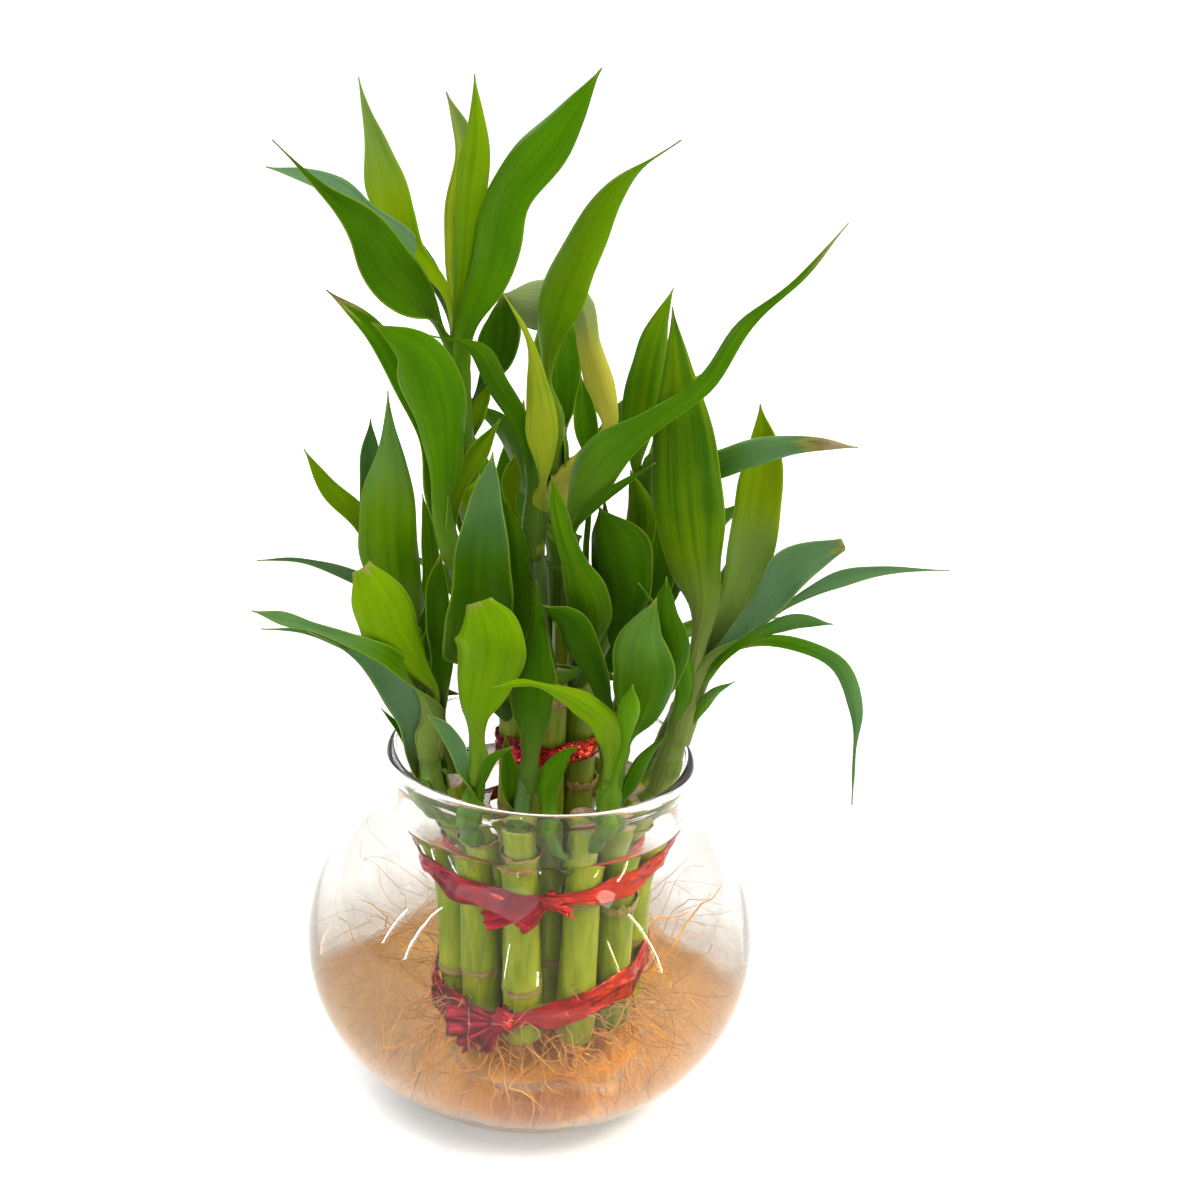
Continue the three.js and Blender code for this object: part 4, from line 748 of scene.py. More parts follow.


# A leaf's sheen value sets how strongly a bluish sheen is painted into its colour, and its sheen span gives the
# share of the blade over which that painted sheen grows in.
outer_tier = [
    {
        "name": "stalk_front_left",
        "angle": -42,
        "foot_angle": -47,
        "top": 97,
        "joint": 86,
        "shoots": [
            {
                "stem": [[-16.5, -19, 82], [-18, -25, 94], [-17, -29, 107], [-16.5, -31, 119]],
                "leaves": [
                    {
                        "via": [
                            [-18.5, -33.5, 125.5], [-17.5, -36.5, 135.5], [-15.5, -38.5, 145.5],
                            [-15, -40, 156], [-18.5, -38, 165],
                        ],
                        "width": 18.5, "shape": [23, 24, 35, 56, 81, 98, 100, 79, 36], "tone": 0.72,
                    },
                    {
                        "from": 0.3,
                        "via": [
                            [-17, -28, 99.5], [-16.5, -31.5, 106.5], [-15, -35, 113.5],
                            [-12.5, -38, 120.5], [-7.5, -40, 125.5],
                        ],
                        "width": 3, "shape": [61, 61, 61, 61, 61, 82, 100, 74, 0], "tone": 0.25,
                    },
                    {
                        "from": 0.6,
                        "via": [
                            [-19, -31, 110], [-21, -33.5, 116.5], [-23, -36, 123],
                            [-26, -38.5, 129], [-30.5, -41, 133.5],
                        ],
                        "width": 4.5, "shape": [93, 93, 93, 93, 93, 100, 87, 59, 0], "face": 20,
                        "tone": 0.35, "cool": 0.7,
                    },
                ],
            },
        ],
    },
    {
        "name": "stalk_front",
        "angle": -13,
        "foot_angle": -12,
        "top": 98,
        "joint": 84,
        "shoots": [
            {
                "stem": [[-5, -22, 84], [-4.5, -27, 95], [-4, -29, 106], [-3.5, -29.5, 116]],
                "leaves": [
                    {
                        "via": [
                            [-1, -30.5, 123.5], [-3, -31.5, 134.5], [-3, -31.5, 145.5],
                            [-3, -30, 157], [-4, -27, 168],
                        ],
                        "width": 11.5, "shape": [20, 54, 82, 100, 99, 72, 41, 18, 0], "tone": 0.08,
                    },
                    {"from": 0.5, "via": [[-8, -29, 112], [-10, -28, 123]], "width": 5},
                ],
            },
        ],
    },
    {
        "name": "stalk_front_right",
        "angle": 25,
        "foot_angle": 28,
        "top": 99,
        "joint": 70,
        "shoots": [
            {
                "radius": 2,
                "stem": [[9, -24.5, 82], [6.5, -28, 88], [4.5, -30, 95], [3.5, -30.5, 101]],
                "leaves": [
                    {
                        "via": [
                            [2, -31, 105.5], [2.5, -31, 110.5], [4, -32, 115.5],
                            [6.5, -33, 120.5], [10, -34, 124],
                        ],
                        "width": 6, "shape": [87, 87, 87, 99, 100, 91, 64, 34, 0], "tone": 0.4,
                    },
                ],
            },
            {
                "stem": [[13, -22, 84], [17, -28, 95], [19, -31, 106], [20, -32, 117]],
                "leaves": [
                    {
                        "via": [
                            [19, -35.5, 124.5], [16.5, -39, 133], [10.5, -42.5, 139.5],
                            [3.5, -46, 144.5], [-5, -50, 148], [-13.5, -54, 148],
                        ],
                        "width": 8, "shape": [75, 100, 98, 84, 82, 51, 17, 23, 0], "face": 20,
                        "tone": 0.7, "gold": 0.25,
                    },
                    {
                        "via": [
                            [23, -34.5, 125], [25, -37, 136], [25.5, -39, 147],
                            [24.5, -40, 158], [27.5, -38, 169],
                        ],
                        "width": 16.5, "shape": [12, 12, 19, 66, 96, 100, 81, 43, 0], "tone": 0.22,
                        "gold": 0.1, "cool": 0.15,
                    },
                    {"from": 0.6, "via": [[28, -36, 123], [33, -39, 131]], "width": 4},
                    {
                        "from": 0.8,
                        "via": [
                            [20.5, -35.5, 117], [21.5, -40, 124.5], [22, -43.5, 132],
                            [22, -46.5, 140], [22.5, -48, 148.5],
                        ],
                        "width": 5.5, "shape": [34, 34, 34, 34, 34, 59, 100, 82, 0], "tone": 0.5,
                    },
                ],
            },
        ],
    },
    {
        "name": "stalk_right_front",
        "angle": 48,
        "foot_angle": 63,
        "top": 96,
        "joint": 64,
        "shoots": [
            {
                "stem": [[19.5, -17, 89], [21, -21, 96], [19, -22, 112], [18, -21, 122]],
                "leaves": [
                    {
                        "via": [
                            [16.5, -23, 130.5], [14, -25, 139.5], [9.5, -27, 148.5],
                            [5, -29, 157], [-2, -31, 162.5],
                        ],
                        "width": 9.5, "shape": [46, 46, 46, 67, 89, 100, 95, 69, 0], "face": -20,
                        "tone": 0.05,
                    },
                    {
                        "via": [
                            [24.5, -24.5, 129], [30.5, -28, 138.5], [33.5, -30.5, 149.5],
                            [30.5, -31, 161], [30, -31, 172.5],
                        ],
                        "width": 9, "shape": [78, 78, 78, 78, 78, 100, 93, 58, 0], "face": 10,
                        "tone": 0.12,
                    },
                ],
            },
        ],
    },
    {
        "name": "stalk_right",
        "angle": 74,
        "foot_angle": 99,
        "top": 98,
        "joint": 88,
        "shoots": [
            {
                "radius": 3.2,
                "stem": [[26, -5, 93], [32, -9, 98], [36.5, -11.5, 114], [41, -13, 139]],
                "leaves": [
                    {
                        "via": [
                            [40.5, -16, 158.5], [36.5, -19.5, 179.5], [33, -23, 200],
                            [30, -24, 221.5], [26.5, -22, 242],
                        ],
                        "width": 18.5, "shape": [15, 28, 61, 88, 100, 94, 72, 34, 0], "tone": 0.2,
                        "gold": 0.3,
                    },
                    {
                        "from": 0.5,
                        "via": [
                            [37.5, -16, 125], [38.5, -19.5, 136.5], [35.5, -22, 148],
                            [30, -23.5, 158.5], [23, -25, 168],
                        ],
                        "width": 6, "shape": [82, 82, 82, 94, 100, 78, 49, 18, 0], "face": 30,
                        "tone": 0.4,
                    },
                    {
                        "via": [
                            [46, -17, 144.5], [55, -22, 152], [66.5, -27, 154], [77.5, -32, 150.5],
                            [82.5, -36.5, 140], [83, -39.5, 127.5], [83.5, -42, 115],
                        ],
                        "width": 4.5, "shape": [79, 79, 64, 63, 77, 81, 100, 86, 26, 17, 0],
                        "face": -70, "tone": 0.45, "cool": 0.6,
                    },
                    {
                        "from": 0.45,
                        "via": [
                            [38, -13, 117.5], [40.5, -15, 123.5], [43, -16.5, 129.5],
                            [46.5, -18, 135], [51.5, -19, 139],
                        ],
                        "width": 3.5, "shape": [58, 58, 58, 58, 72, 100, 86, 50, 0], "tone": 0.5,
                        "cool": 0.3,
                    },
                    {
                        "via": [
                            [45, -14, 142], [52.5, -15, 153], [59.5, -17, 163.5],
                            [66.5, -19.5, 174], [76.5, -23, 181.5],
                        ],
                        "width": 11.5, "shape": [27, 27, 27, 42, 62, 90, 100, 70, 31], "face": -40,
                        "tone": 0.4, "cool": 0.85, "dry": 0.03,
                    },
                    {
                        "via": [
                            [44, -16, 138], [48.5, -19.5, 147], [56, -22.5, 154.5],
                            [65, -24, 159.5], [75.5, -26, 160],
                        ],
                        "width": 4, "shape": [59, 59, 59, 59, 64, 66, 100, 80, 0], "face": -40,
                        "tone": 0.35, "cool": 0.4,
                    },
                ],
            },
        ],
    },
    {
        "name": "stalk_right_back",
        "angle": 106,
        "foot_angle": 134,
        "top": 97,
        "joint": 72,
        "shoots": [
            {
                "stem": [[25, 8, 88], [33, 5, 102], [40, 0, 122], [44, -4, 138]],
                "leaves": [
                    {
                        "via": [
                            [49, -6, 151.5], [52.5, -8, 166.5], [54, -9, 182.5],
                            [54.5, -8.5, 198.5], [52.5, -7, 214],
                        ],
                        "width": 12.5, "shape": [21, 64, 76, 89, 98, 100, 96, 60, 0], "tone": 0.6,
                        "gold": 0.6, "cool": 0.35, "cool_span": [0.7, 0.45],
                    },
                    {
                        "via": [
                            [54, -5, 146], [64.5, -7, 157], [77, -9.5, 166],
                            [91.5, -12, 171], [107, -14, 173],
                        ],
                        "width": 5, "shape": [55, 55, 55, 37, 72, 100, 59, 22, 0], "face": -60,
                        "tone": 0.35, "cool": 0.8,
                    },
                    {"via": [[54, 8, 150], [66, 16, 162], [80, 22, 166]], "width": 9, "face": -75},
                    {
                        "from": 0.6, "via": [[40, 12, 130], [46, 20, 150], [56, 27, 168]], "width": 12,
                        "face": -100,
                    },
                ],
            },
        ],
    },
    {
        "name": "stalk_back_right",
        "angle": 145,
        "foot_angle": 169,
        "top": 96,
        "joint": 82,
        "shoots": [
            {
                "stem": [[14.5, 21, 84], [21, 26, 98], [25, 28, 114], [27, 29, 130]],
                "leaves": [
                    arching({
                        "azimuth": 128, "root": [27, 29, 130], "reach": 38, "rise": 52, "droop": 14,
                        "width": 15,
                    }),
                    arching({
                        "azimuth": 165, "root": [27, 29, 130], "reach": 26, "rise": 58, "width": 16,
                    }),
                    arching({
                        "azimuth": 105, "root": [26, 28, 120], "reach": 44, "rise": 34, "droop": 18,
                        "width": 10, "from": 0.75,
                    }),
                    arching({
                        "azimuth": 190, "root": [25, 28, 114], "reach": 34, "rise": 26, "droop": 10,
                        "width": 9, "from": 0.6,
                    }),
                ],
            },
        ],
    },
    {
        "name": "stalk_back_left",
        "angle": 195,
        "foot_angle": 205,
        "top": 97,
        "joint": 66,
        "shoots": [
            {
                "stem": [[-6.5, 24.5, 84], [-9, 31, 98], [-12, 34, 114], [-14, 35, 130]],
                "leaves": [
                    arching({
                        "azimuth": 200, "root": [-14, 35, 130], "reach": 34, "rise": 56, "droop": 8,
                        "width": 15,
                    }),
                    arching({
                        "azimuth": 172, "root": [-14, 35, 130], "reach": 20, "rise": 64, "width": 15,
                    }),
                    arching({
                        "azimuth": 230, "root": [-13, 34, 120], "reach": 42, "rise": 38, "droop": 16,
                        "width": 10, "from": 0.75,
                    }),
                    arching({
                        "azimuth": 160, "root": [-12, 34, 114], "reach": 34, "rise": 28, "droop": 12,
                        "width": 9, "from": 0.6,
                    }),
                ],
            },
        ],
    },
    {
        "name": "stalk_left",
        "angle": 243,
        "foot_angle": 241,
        "top": 97,
        "joint": 76,
        "shoots": [
            {
                "stem": [[-23, 10.5, 84], [-30, 9, 103], [-35, 5, 122], [-38, 2, 140]],
                "leaves": [
                    {
                        "via": [
                            [-40, -2, 141], [-43.5, -5.5, 158.5], [-45, -9, 176],
                            [-45, -10, 194], [-46, -8, 211.5],
                        ],
                        "width": 16.5, "shape": [11, 63, 86, 100, 93, 81, 50, 19, 0], "tone": 0.5,
                        "gold": 0.2, "cool": 0.35,
                    },
                    {
                        "via": [
                            [-45, 4, 145.5], [-47.5, 5, 159], [-49.5, 5, 173],
                            [-51, 4.5, 186.5], [-51.5, 4, 200],
                        ],
                        "width": 8, "shape": [32, 46, 74, 90, 100, 96, 76, 59, 0], "tone": 0.12,
                        "cool": 0.3,
                    },
                    {
                        "via": [
                            [-40.5, 5, 147.5], [-46.5, 6, 159.5], [-53, 3.5, 171],
                            [-62, 0, 181], [-68.5, -3, 192.5],
                        ],
                        "width": 6, "shape": [75, 75, 84, 91, 97, 100, 95, 56, 0], "face": 15,
                        "tone": 0.7, "gold": 0.3,
                    },
                    {
                        "via": [
                            [-41.5, 1.5, 142.5], [-48, 0, 152], [-58, -2, 157.5],
                            [-69, -4, 161], [-80.5, -6, 161],
                        ],
                        "width": 4, "shape": [81, 81, 81, 100, 94, 74, 42, 25, 0], "face": 50,
                        "tone": 0.15, "cool": 0.7,
                    },
                    {
                        "from": 0.7,
                        "via": [
                            [-31.5, 1.5, 108.5], [-28.5, -2, 100.5], [-30.5, -1, 115.5],
                            [-31.5, -0.5, 131], [-33, 0, 146],
                        ],
                        "width": 16.5, "shape": [14, 14, 14, 28, 76, 100, 100, 65, 0], "face": 70,
                        "tone": 0.12,
                    },
                    {
                        "from": 0.8,
                        "via": [
                            [-35.5, 7.5, 137.5], [-34.5, 11.5, 146.5], [-34.5, 16, 155.5],
                            [-36, 20.5, 164], [-38, 24, 173],
                        ],
                        "width": 5, "shape": [89, 89, 89, 89, 89, 100, 87, 48, 0], "face": 10,
                        "tone": 0.35, "gold": 0.2,
                    },
                ],
            },
        ],
    },
    {
        "name": "stalk_left_front",
        "angle": -77,
        "foot_angle": -82,
        "top": 98,
        "joint": 80,
        "shoots": [
            {
                "radius": 3.6,
                "stem": [[-24.5, -6.5, 84], [-29, -11, 96], [-31, -14, 110], [-30, -16, 124]],
                "leaves": [
                    {
                        "via": [
                            [-35.5, -22, 134], [-42, -28.5, 144], [-52.5, -34.5, 151],
                            [-64, -40, 157], [-76, -45, 161.5],
                        ],
                        "width": 5.5, "shape": [92, 92, 92, 100, 79, 57, 44, 66, 0], "face": 40,
                        "tone": 0.5, "cool": 0.6,
                    },
                    {
                        "via": [
                            [-32.5, -13, 132.5], [-42.5, -16, 139], [-53.5, -20.5, 144.5],
                            [-64.5, -25.5, 149], [-75.5, -31, 151],
                        ],
                        "width": 6, "shape": [80, 100, 94, 99, 95, 73, 40, 16, 0], "face": 40,
                        "tone": 0.18, "cool": 0.35,
                    },
                    {
                        "from": 0.3,
                        "via": [
                            [-35, -12, 107.5], [-37, -14.5, 121], [-43, -17.5, 133],
                            [-53, -21.5, 142], [-64, -26, 149],
                        ],
                        "width": 9, "shape": [63, 63, 71, 86, 100, 81, 28, 1, 0], "face": 20,
                        "tone": 0.35, "cool": 0.8,
                    },
                    {
                        "via": [
                            [-29.5, -19, 130], [-34.5, -23.5, 140], [-40, -27.5, 149.5],
                            [-44, -31.5, 160.5], [-49, -34, 171],
                        ],
                        "width": 16, "shape": [13, 13, 16, 32, 70, 99, 100, 79, 35], "face": 25,
                        "tone": 0.75, "gold": 0.1,
                    },
                    {"from": 0.45, "via": [[-38, -9, 111], [-45, -10, 121]], "width": 3.5, "face": 60},
                    {
                        "from": 0.85,
                        "via": [
                            [-29, -14, 128], [-28.5, -13.5, 138.5], [-30, -14.5, 149],
                            [-30.5, -15, 159.5], [-30, -16, 170],
                        ],
                        "width": 6.5, "shape": [84, 84, 84, 95, 98, 100, 96, 67, 0], "tone": 0.08,
                    },
                ],
            },
        ],
    },
]

inner_tier = [
    {
        "name": "tall_stalk_front_left",
        "angle": -60,
        "foot_angle": -64,
        "top": 139,
        "joint": 92,
        "shoots": [
            {
                "stem": [[-8.5, -5.5, 130], [-16, -9, 146], [-24, -11, 160], [-28.5, -13, 172]],
                "leaves": [
                    {
                        "via": [
                            [-31.5, -14, 186], [-34, -14.5, 202], [-41.5, -16.5, 216.5],
                            [-49.5, -19.5, 230.5], [-61, -23, 241],
                        ],
                        "width": 7.5, "shape": [44, 68, 94, 99, 100, 96, 83, 53, 0], "face": 30,
                        "tone": 0.35, "dry": 0.08,
                    },
                    {
                        "via": [
                            [-29, -16, 184], [-29.5, -20, 199], [-31.5, -24.5, 213.5],
                            [-37, -29.5, 227.5], [-48.5, -32, 235.5],
                        ],
                        "width": 15.5, "shape": [34, 40, 47, 61, 80, 100, 92, 48, 0], "face": 15,
                        "tone": 0.42,
                    },
                ],
            },
            {
                "stem": [[-8.5, -5.5, 119], [-13, -10, 125], [-17, -14, 134]],
                "leaves": [
                    {
                        "via": [
                            [-18, -17.5, 146.5], [-18.5, -21, 160.5], [-18.5, -23.5, 174],
                            [-18, -25, 188], [-17, -26, 202],
                        ],
                        "width": 18, "shape": [17, 84, 100, 95, 87, 75, 57, 33, 0], "tone": 0.2,
                        "cool": 0.45,
                    },
                    {
                        "from": 0.5,
                        "via": [
                            [-18.5, -11, 142], [-24, -11.5, 158.5], [-28, -11.5, 175],
                            [-24, -11, 191.5], [-16, -11, 206.5],
                        ],
                        "width": 5.5, "shape": [49, 49, 49, 49, 49, 54, 55, 100, 0], "tone": 0.4,
                        "gold": 0.5,
                    },
                ],
            },
        ],
    },
    {
        "name": "tall_stalk_left",
        "angle": -125,
        "foot_angle": -136,
        "top": 143,
        "joint": 75,
        "shoots": [
            {
                "radius": 2.9,
                "stem": [[-8.5, 5, 132], [-18, 2, 156], [-25, -2, 184], [-27.5, -4, 206], [-27.5, -5, 226]],
                "leaves": [
                    {
                        "via": [
                            [-32.5, 1, 236.5], [-42.5, 5.5, 247.5], [-49.5, 8, 260.5],
                            [-54, 8, 275.5], [-57, 5, 290.5],
                        ],
                        "width": 12.5, "shape": [13, 14, 36, 45, 77, 100, 65, 25, 0], "face": 40,
                        "tone": 0.8, "gold": 0.5, "cool": 0.35,
                    },
                    {
                        "via": [
                            [-35.5, -8.5, 232], [-46, -14, 243], [-53, -21, 256.5],
                            [-63, -28, 268], [-73.5, -34, 279.5],
                        ],
                        "width": 15, "shape": [19, 21, 85, 100, 89, 58, 25, 8, 0], "face": 40,
                        "tone": 0.22,
                    },
                    {
                        "via": [
                            [-31, 4, 229.5], [-39.5, 5, 243.5], [-50.5, 2.5, 255],
                            [-64, -1, 263.5], [-79, -6, 268],
                        ],
                        "width": 7, "shape": [38, 38, 57, 95, 95, 39, 100, 67, 0], "face": 60,
                        "tone": 0.4, "cool": 0.9,
                    },
                    {
                        "via": [
                            [-29, -6.5, 229.5], [-27, -8.5, 245.5], [-26.5, -10, 262],
                            [-25.5, -7, 278], [-27, -2, 294],
                        ],
                        "width": 8, "shape": [27, 27, 36, 71, 86, 100, 98, 45, 0], "tone": 0.65,
                        "gold": 0.25,
                    },
                    {
                        "via": [
                            [-28.5, 0, 225.5], [-29.5, 4, 241.5], [-30, 8, 257],
                            [-29, 11.5, 273], [-35, 14, 287],
                        ],
                        "width": 7.5, "shape": [20, 20, 20, 74, 89, 100, 80, 59, 0], "tone": 0.5,
                        "gold": 0.8, "dry": 0.04, "cool": 0.5, "cool_span": [0.75, 0.9],
                    },
                    {
                        "via": [
                            [-27, -9, 226], [-21.5, -13.5, 245.5], [-17.5, -18, 265.5],
                            [-6, -16.5, 282], [5, -10, 298.5],
                        ],
                        "width": 14.5, "shape": [35, 35, 38, 77, 100, 85, 87, 47, 0], "face": -20,
                        "tone": 0.45,
                    },
                    {
                        "from": 0.7,
                        "via": [
                            [-24.5, -2.5, 205], [-21.5, -1.5, 213], [-17, -0.5, 220.5],
                            [-16.5, 1.5, 229], [-17.5, 4, 237],
                        ],
                        "width": 12, "shape": [10, 10, 10, 26, 61, 99, 100, 61, 0], "face": -30,
                        "tone": 0.1,
                    },
                    {
                        "from": 0.6,
                        "via": [
                            [-24.5, -2, 192.5], [-24, -2, 198], [-22.5, -2, 203.5],
                            [-21.5, -1.5, 208.5], [-19.5, -1, 213.5],
                        ],
                        "width": 4, "shape": [43, 43, 43, 43, 65, 92, 100, 88, 0], "tone": 0.75,
                        "gold": 0.2,
                    },
                ],
            },
        ],
    },
    {
        "name": "tall_stalk_front",
        "angle": 5,
        "foot_angle": 8,
        "top": 136,
        "joint": 86,
        "shoots": [
            {
                "radius": 3.6,
                "stem": [[1.5, -10, 128], [-3, -11, 148], [-5, -10, 168], [-5, -9, 184]],
                "leaves": [
                    {
                        "via": [
                            [-3.5, -16.5, 193], [-4.5, -18.5, 205.5], [-6.5, -20, 218.5],
                            [-9.5, -20, 231], [-16.5, -19, 242],
                        ],
                        "width": 8.5, "shape": [11, 11, 57, 100, 84, 56, 26, 12, 0], "tone": 0.5,
                        "gold": 0.8,
                    },
                    {
                        "via": [
                            [-7, -12.5, 193], [-9.5, -15.5, 205.5], [-16, -18, 216.5],
                            [-23, -20.5, 227.5], [-35, -23, 231],
                        ],
                        "width": 5.5, "shape": [62, 62, 62, 73, 96, 100, 98, 21, 0], "face": 10,
                        "tone": 0.12,
                    },
                    {
                        "from": 0.05,
                        "via": [
                            [11, -16, 140.5], [11.5, -21, 155], [7.5, -25.5, 169],
                            [2, -28.5, 183], [-1.5, -29, 197.5],
                        ],
                        "width": 11.5, "shape": [12, 12, 38, 94, 100, 61, 44, 36, 0], "tone": 0.3,
                        "gold": 0.1,
                    },
                    {
                        "from": 0.03,
                        "via": [
                            [-5, -14.5, 137.5], [-6.5, -15.5, 150], [-8, -16, 162.5],
                            [-10, -16, 174.5], [-14, -15, 186.5],
                        ],
                        "width": 6, "shape": [29, 38, 86, 98, 92, 92, 100, 51, 0], "tone": 0.1,
                    },
                ],
            },
        ],
    },
    {
        "name": "tall_stalk_right",
        "angle": 70,
        "foot_angle": 80,
        "top": 140,
        "joint": 99,
        "shoots": [
            {
                "stem": [[9, -4.5, 130], [10, -9, 148], [8, -12, 166]],
                "leaves": [
                    {
                        "via": [
                            [4, -16, 182.5], [9.5, -21, 199], [22.5, -26.5, 212], [35, -31.5, 224.5],
                            [43.5, -35.5, 241], [56, -39, 254.5], [66.5, -41, 269.5],
                        ],
                        "width": 12.5, "shape": [15, 15, 98, 100, 60, 42, 41, 36, 15, 11, 0],
                        "face": -30, "tone": 0.4, "dry": 0.07,
                    },
                    {
                        "from": 0.05,
                        "via": [
                            [20.5, -9.5, 134.5], [19, -12.5, 147.5], [20, -15, 161],
                            [17, -16.5, 173.5], [11.5, -17, 186],
                        ],
                        "width": 17, "shape": [4, 4, 16, 36, 62, 92, 100, 69, 0], "face": -10,
                        "tone": 0.12,
                    },
                    {
                        "from": 0.7,
                        "via": [
                            [9, -9.5, 168], [9, -9, 181], [8.5, -8.5, 194],
                            [6.5, -8, 206.5], [4.5, -7, 219],
                        ],
                        "width": 6, "shape": [27, 27, 27, 27, 27, 27, 100, 87, 0], "face": 10,
                        "tone": 0.25,
                    },
                    {
                        "from": 0.9,
                        "via": [
                            [6, -16, 171.5], [5, -20, 180.5], [10.5, -22.5, 188.5],
                            [17.5, -25, 195.5], [25, -27, 202],
                        ],
                        "width": 2.5, "shape": [49, 49, 49, 49, 79, 100, 89, 43, 0], "face": -20,
                        "tone": 0.1,
                    },
                ],
            },
            {
                "stem": [[11, -2.5, 132], [17, 0, 152], [23, 1, 172], [25, 1, 186]],
                "leaves": [
                    {
                        "via": [
                            [20, 0, 194], [21, -1, 206], [22, -2, 218.5],
                            [24, -1.5, 230.5], [27.5, 0, 242],
                        ],
                        "width": 10, "shape": [18, 30, 70, 98, 100, 89, 74, 37, 0], "tone": 0.5,
                        "gold": 0.2,
                    },
                    {
                        "via": [
                            [25, -3.5, 195], [38.5, -8.5, 195.5], [50.5, -13.5, 202],
                            [63.5, -18.5, 207], [77.5, -22, 208],
                        ],
                        "width": 7.5, "shape": [50, 50, 74, 100, 98, 91, 67, 43, 0], "face": -20,
                        "tone": 0.3, "cool": 0.6, "dry": 0.16,
                    },
                    {
                        "from": 0.3,
                        "via": [
                            [19.5, -2, 156.5], [23, -3.5, 165], [23, -4.5, 174.5],
                            [22, -5, 184], [19.5, -5, 193],
                        ],
                        "width": 8.5, "shape": [50, 50, 50, 50, 78, 100, 91, 55, 0], "face": -20,
                        "tone": 0.35, "gold": 0.3,
                    },
                    {
                        "from": 0.8, "via": [[27, 10, 192], [34, 20, 208], [44, 28, 214]], "width": 13,
                        "face": -140,
                    },
                ],
            },
        ],
    },
    {
        "name": "tall_stalk_back",
        "angle": 150,
        "foot_angle": 152,
        "top": 143,
        "joint": 80,
        "shoots": [
            {
                "stem": [[5, 9.5, 132], [3, 10, 158], [0, 8, 184], [-2, 6, 206]],
                "leaves": [
                    {
                        "via": [
                            [-5, 3, 221.5], [-2, -1, 239], [4, -5.5, 255.5],
                            [12.5, -9.5, 271], [26, -13, 282.5],
                        ],
                        "width": 12.5, "shape": [8, 18, 60, 100, 94, 80, 46, 7, 0], "face": -20,
                        "tone": 0.6, "gold": 0.15,
                    },
                    {
                        "from": 0.7,
                        "via": [
                            [7.5, 6.5, 192.5], [13.5, 6, 201.5], [10, 8, 212], [6.5, 9, 222.5],
                            [3, 9, 233.5], [-7, 9, 233], [-18, 8, 235.5],
                        ],
                        "width": 13.5, "shape": [28, 28, 28, 37, 58, 52, 46, 53, 100, 91, 0],
                        "tone": 0.9, "gold": 1, "cool": 0.9, "cool_span": [0.5, 0.72],
                    },
                    {
                        "from": 0.5,
                        "via": [
                            [-4.5, 9, 170.5], [-10.5, 8.5, 173], [-12.5, 9, 178.5],
                            [-12.5, 9, 185], [-12, 9, 191],
                        ],
                        "width": 5, "shape": [22, 22, 22, 22, 48, 86, 100, 78, 0], "tone": 0.8,
                        "gold": 0.5,
                    },
                    arching({
                        "azimuth": 185, "root": [-1, 7, 196], "reach": 34, "rise": 40, "droop": 6,
                        "width": 14, "from": 0.85,
                    }),
                    {
                        "from": 0.5, "via": [[10, 18, 184], [16, 28, 198], [24, 38, 202]], "width": 12,
                        "face": -150,
                    },
                    {
                        "from": 0.45, "via": [[-8, 16, 178], [-16, 26, 192], [-26, 34, 198]],
                        "width": 11, "face": 140,
                    },
                    {
                        "from": 0.4,
                        "via": [
                            [2.5, 12.5, 142], [2, 15.5, 122.5], [1, 17, 127.5],
                            [0, 17.5, 147], [-1, 18, 166.5],
                        ],
                        "width": 8.5, "shape": [1, 1, 1, 1, 35, 100, 89, 58, 0], "tone": 0.08,
                    },
                    {
                        "from": 0.48,
                        "via": [
                            [8, 13, 144], [14.5, 17, 120.5], [16.5, 19, 128.5],
                            [15.5, 19.5, 153], [13.5, 20, 177.5],
                        ],
                        "width": 12, "shape": [26, 26, 26, 26, 59, 100, 86, 52, 0], "tone": 0.08,
                    },
                ],
            },
        ],
    },
]


def width_share(leaf, along):
    """A leaf's share of its full width: that of its own shape, given at even steps, or that of a lancet."""
    if along <= 0:
        along = 0
    if "shape" in leaf:
        shape = leaf["shape"]
        place = min(along, 1) * (len(shape) - 1)
        step = min(int(place), len(shape) - 2)
        t = place - step
        a, b, c, d = (shape[min(max(step + k, 0), len(shape) - 1)] for k in (-1, 0, 1, 2))
        bend = 2 * a - 5 * b + 4 * c - d + t * (3 * (b - c) + d - a)
        return max(b + 0.5 * t * (c - a + t * bend), 0) / 100
    if along <= 0 or along >= 1:
        return 0
    rise = (along / LANCET_WIDEST) ** (LANCET_WIDEST * LANCET_POINT)
    fall = ((1 - along) / (1 - LANCET_WIDEST)) ** ((1 - LANCET_WIDEST) * LANCET_POINT)
    return max(rise * fall, 0)


def carried(side, tangent):
    return (side - tangent * side.dot(tangent)).normalized()


def blade_frames(path, leaf, lean, foot_share, rows):
    """The middle, the sideways and the upper direction of a blade at each row. Its foot opens to the stem."""
    face = math.radians(leaf.get("face", 0))
    facing = Vector((math.sin(face), -math.cos(face), 0.15))
    tangents = [path.tangent(row / rows) for row in range(rows + 1)]
    set_row = round(rows * mix(foot_share, 1, SET_SHARE))
    sides = [None] * (rows + 1)
    sides[set_row] = tangents[set_row].cross(facing).normalized()
    for row in range(set_row + 1, rows + 1):
        sides[row] = carried(sides[row - 1], tangents[row])
    for row in range(set_row - 1, -1, -1):
        sides[row] = carried(sides[row + 1], tangents[row])
    foot_row = round(rows * foot_share)
    tangent, side = tangents[foot_row], sides[foot_row]
    clasping = tangent.cross(-lean).normalized()
    if side.dot(clasping) < 0:
        sides = [-one for one in sides]
        side = sides[foot_row]
    turn = math.atan2(side.cross(clasping).dot(tangent), side.dot(clasping))
    frames = []
    for row in range(rows + 1):
        share = row / rows
        angle = turn * (1 - smoothstep(foot_share, foot_share + 0.3, share))
        side = Quaternion(tangents[row], angle) @ sides[row]
        frames.append((path.at(share), side, side.cross(tangents[row]).normalized()))
    return frames


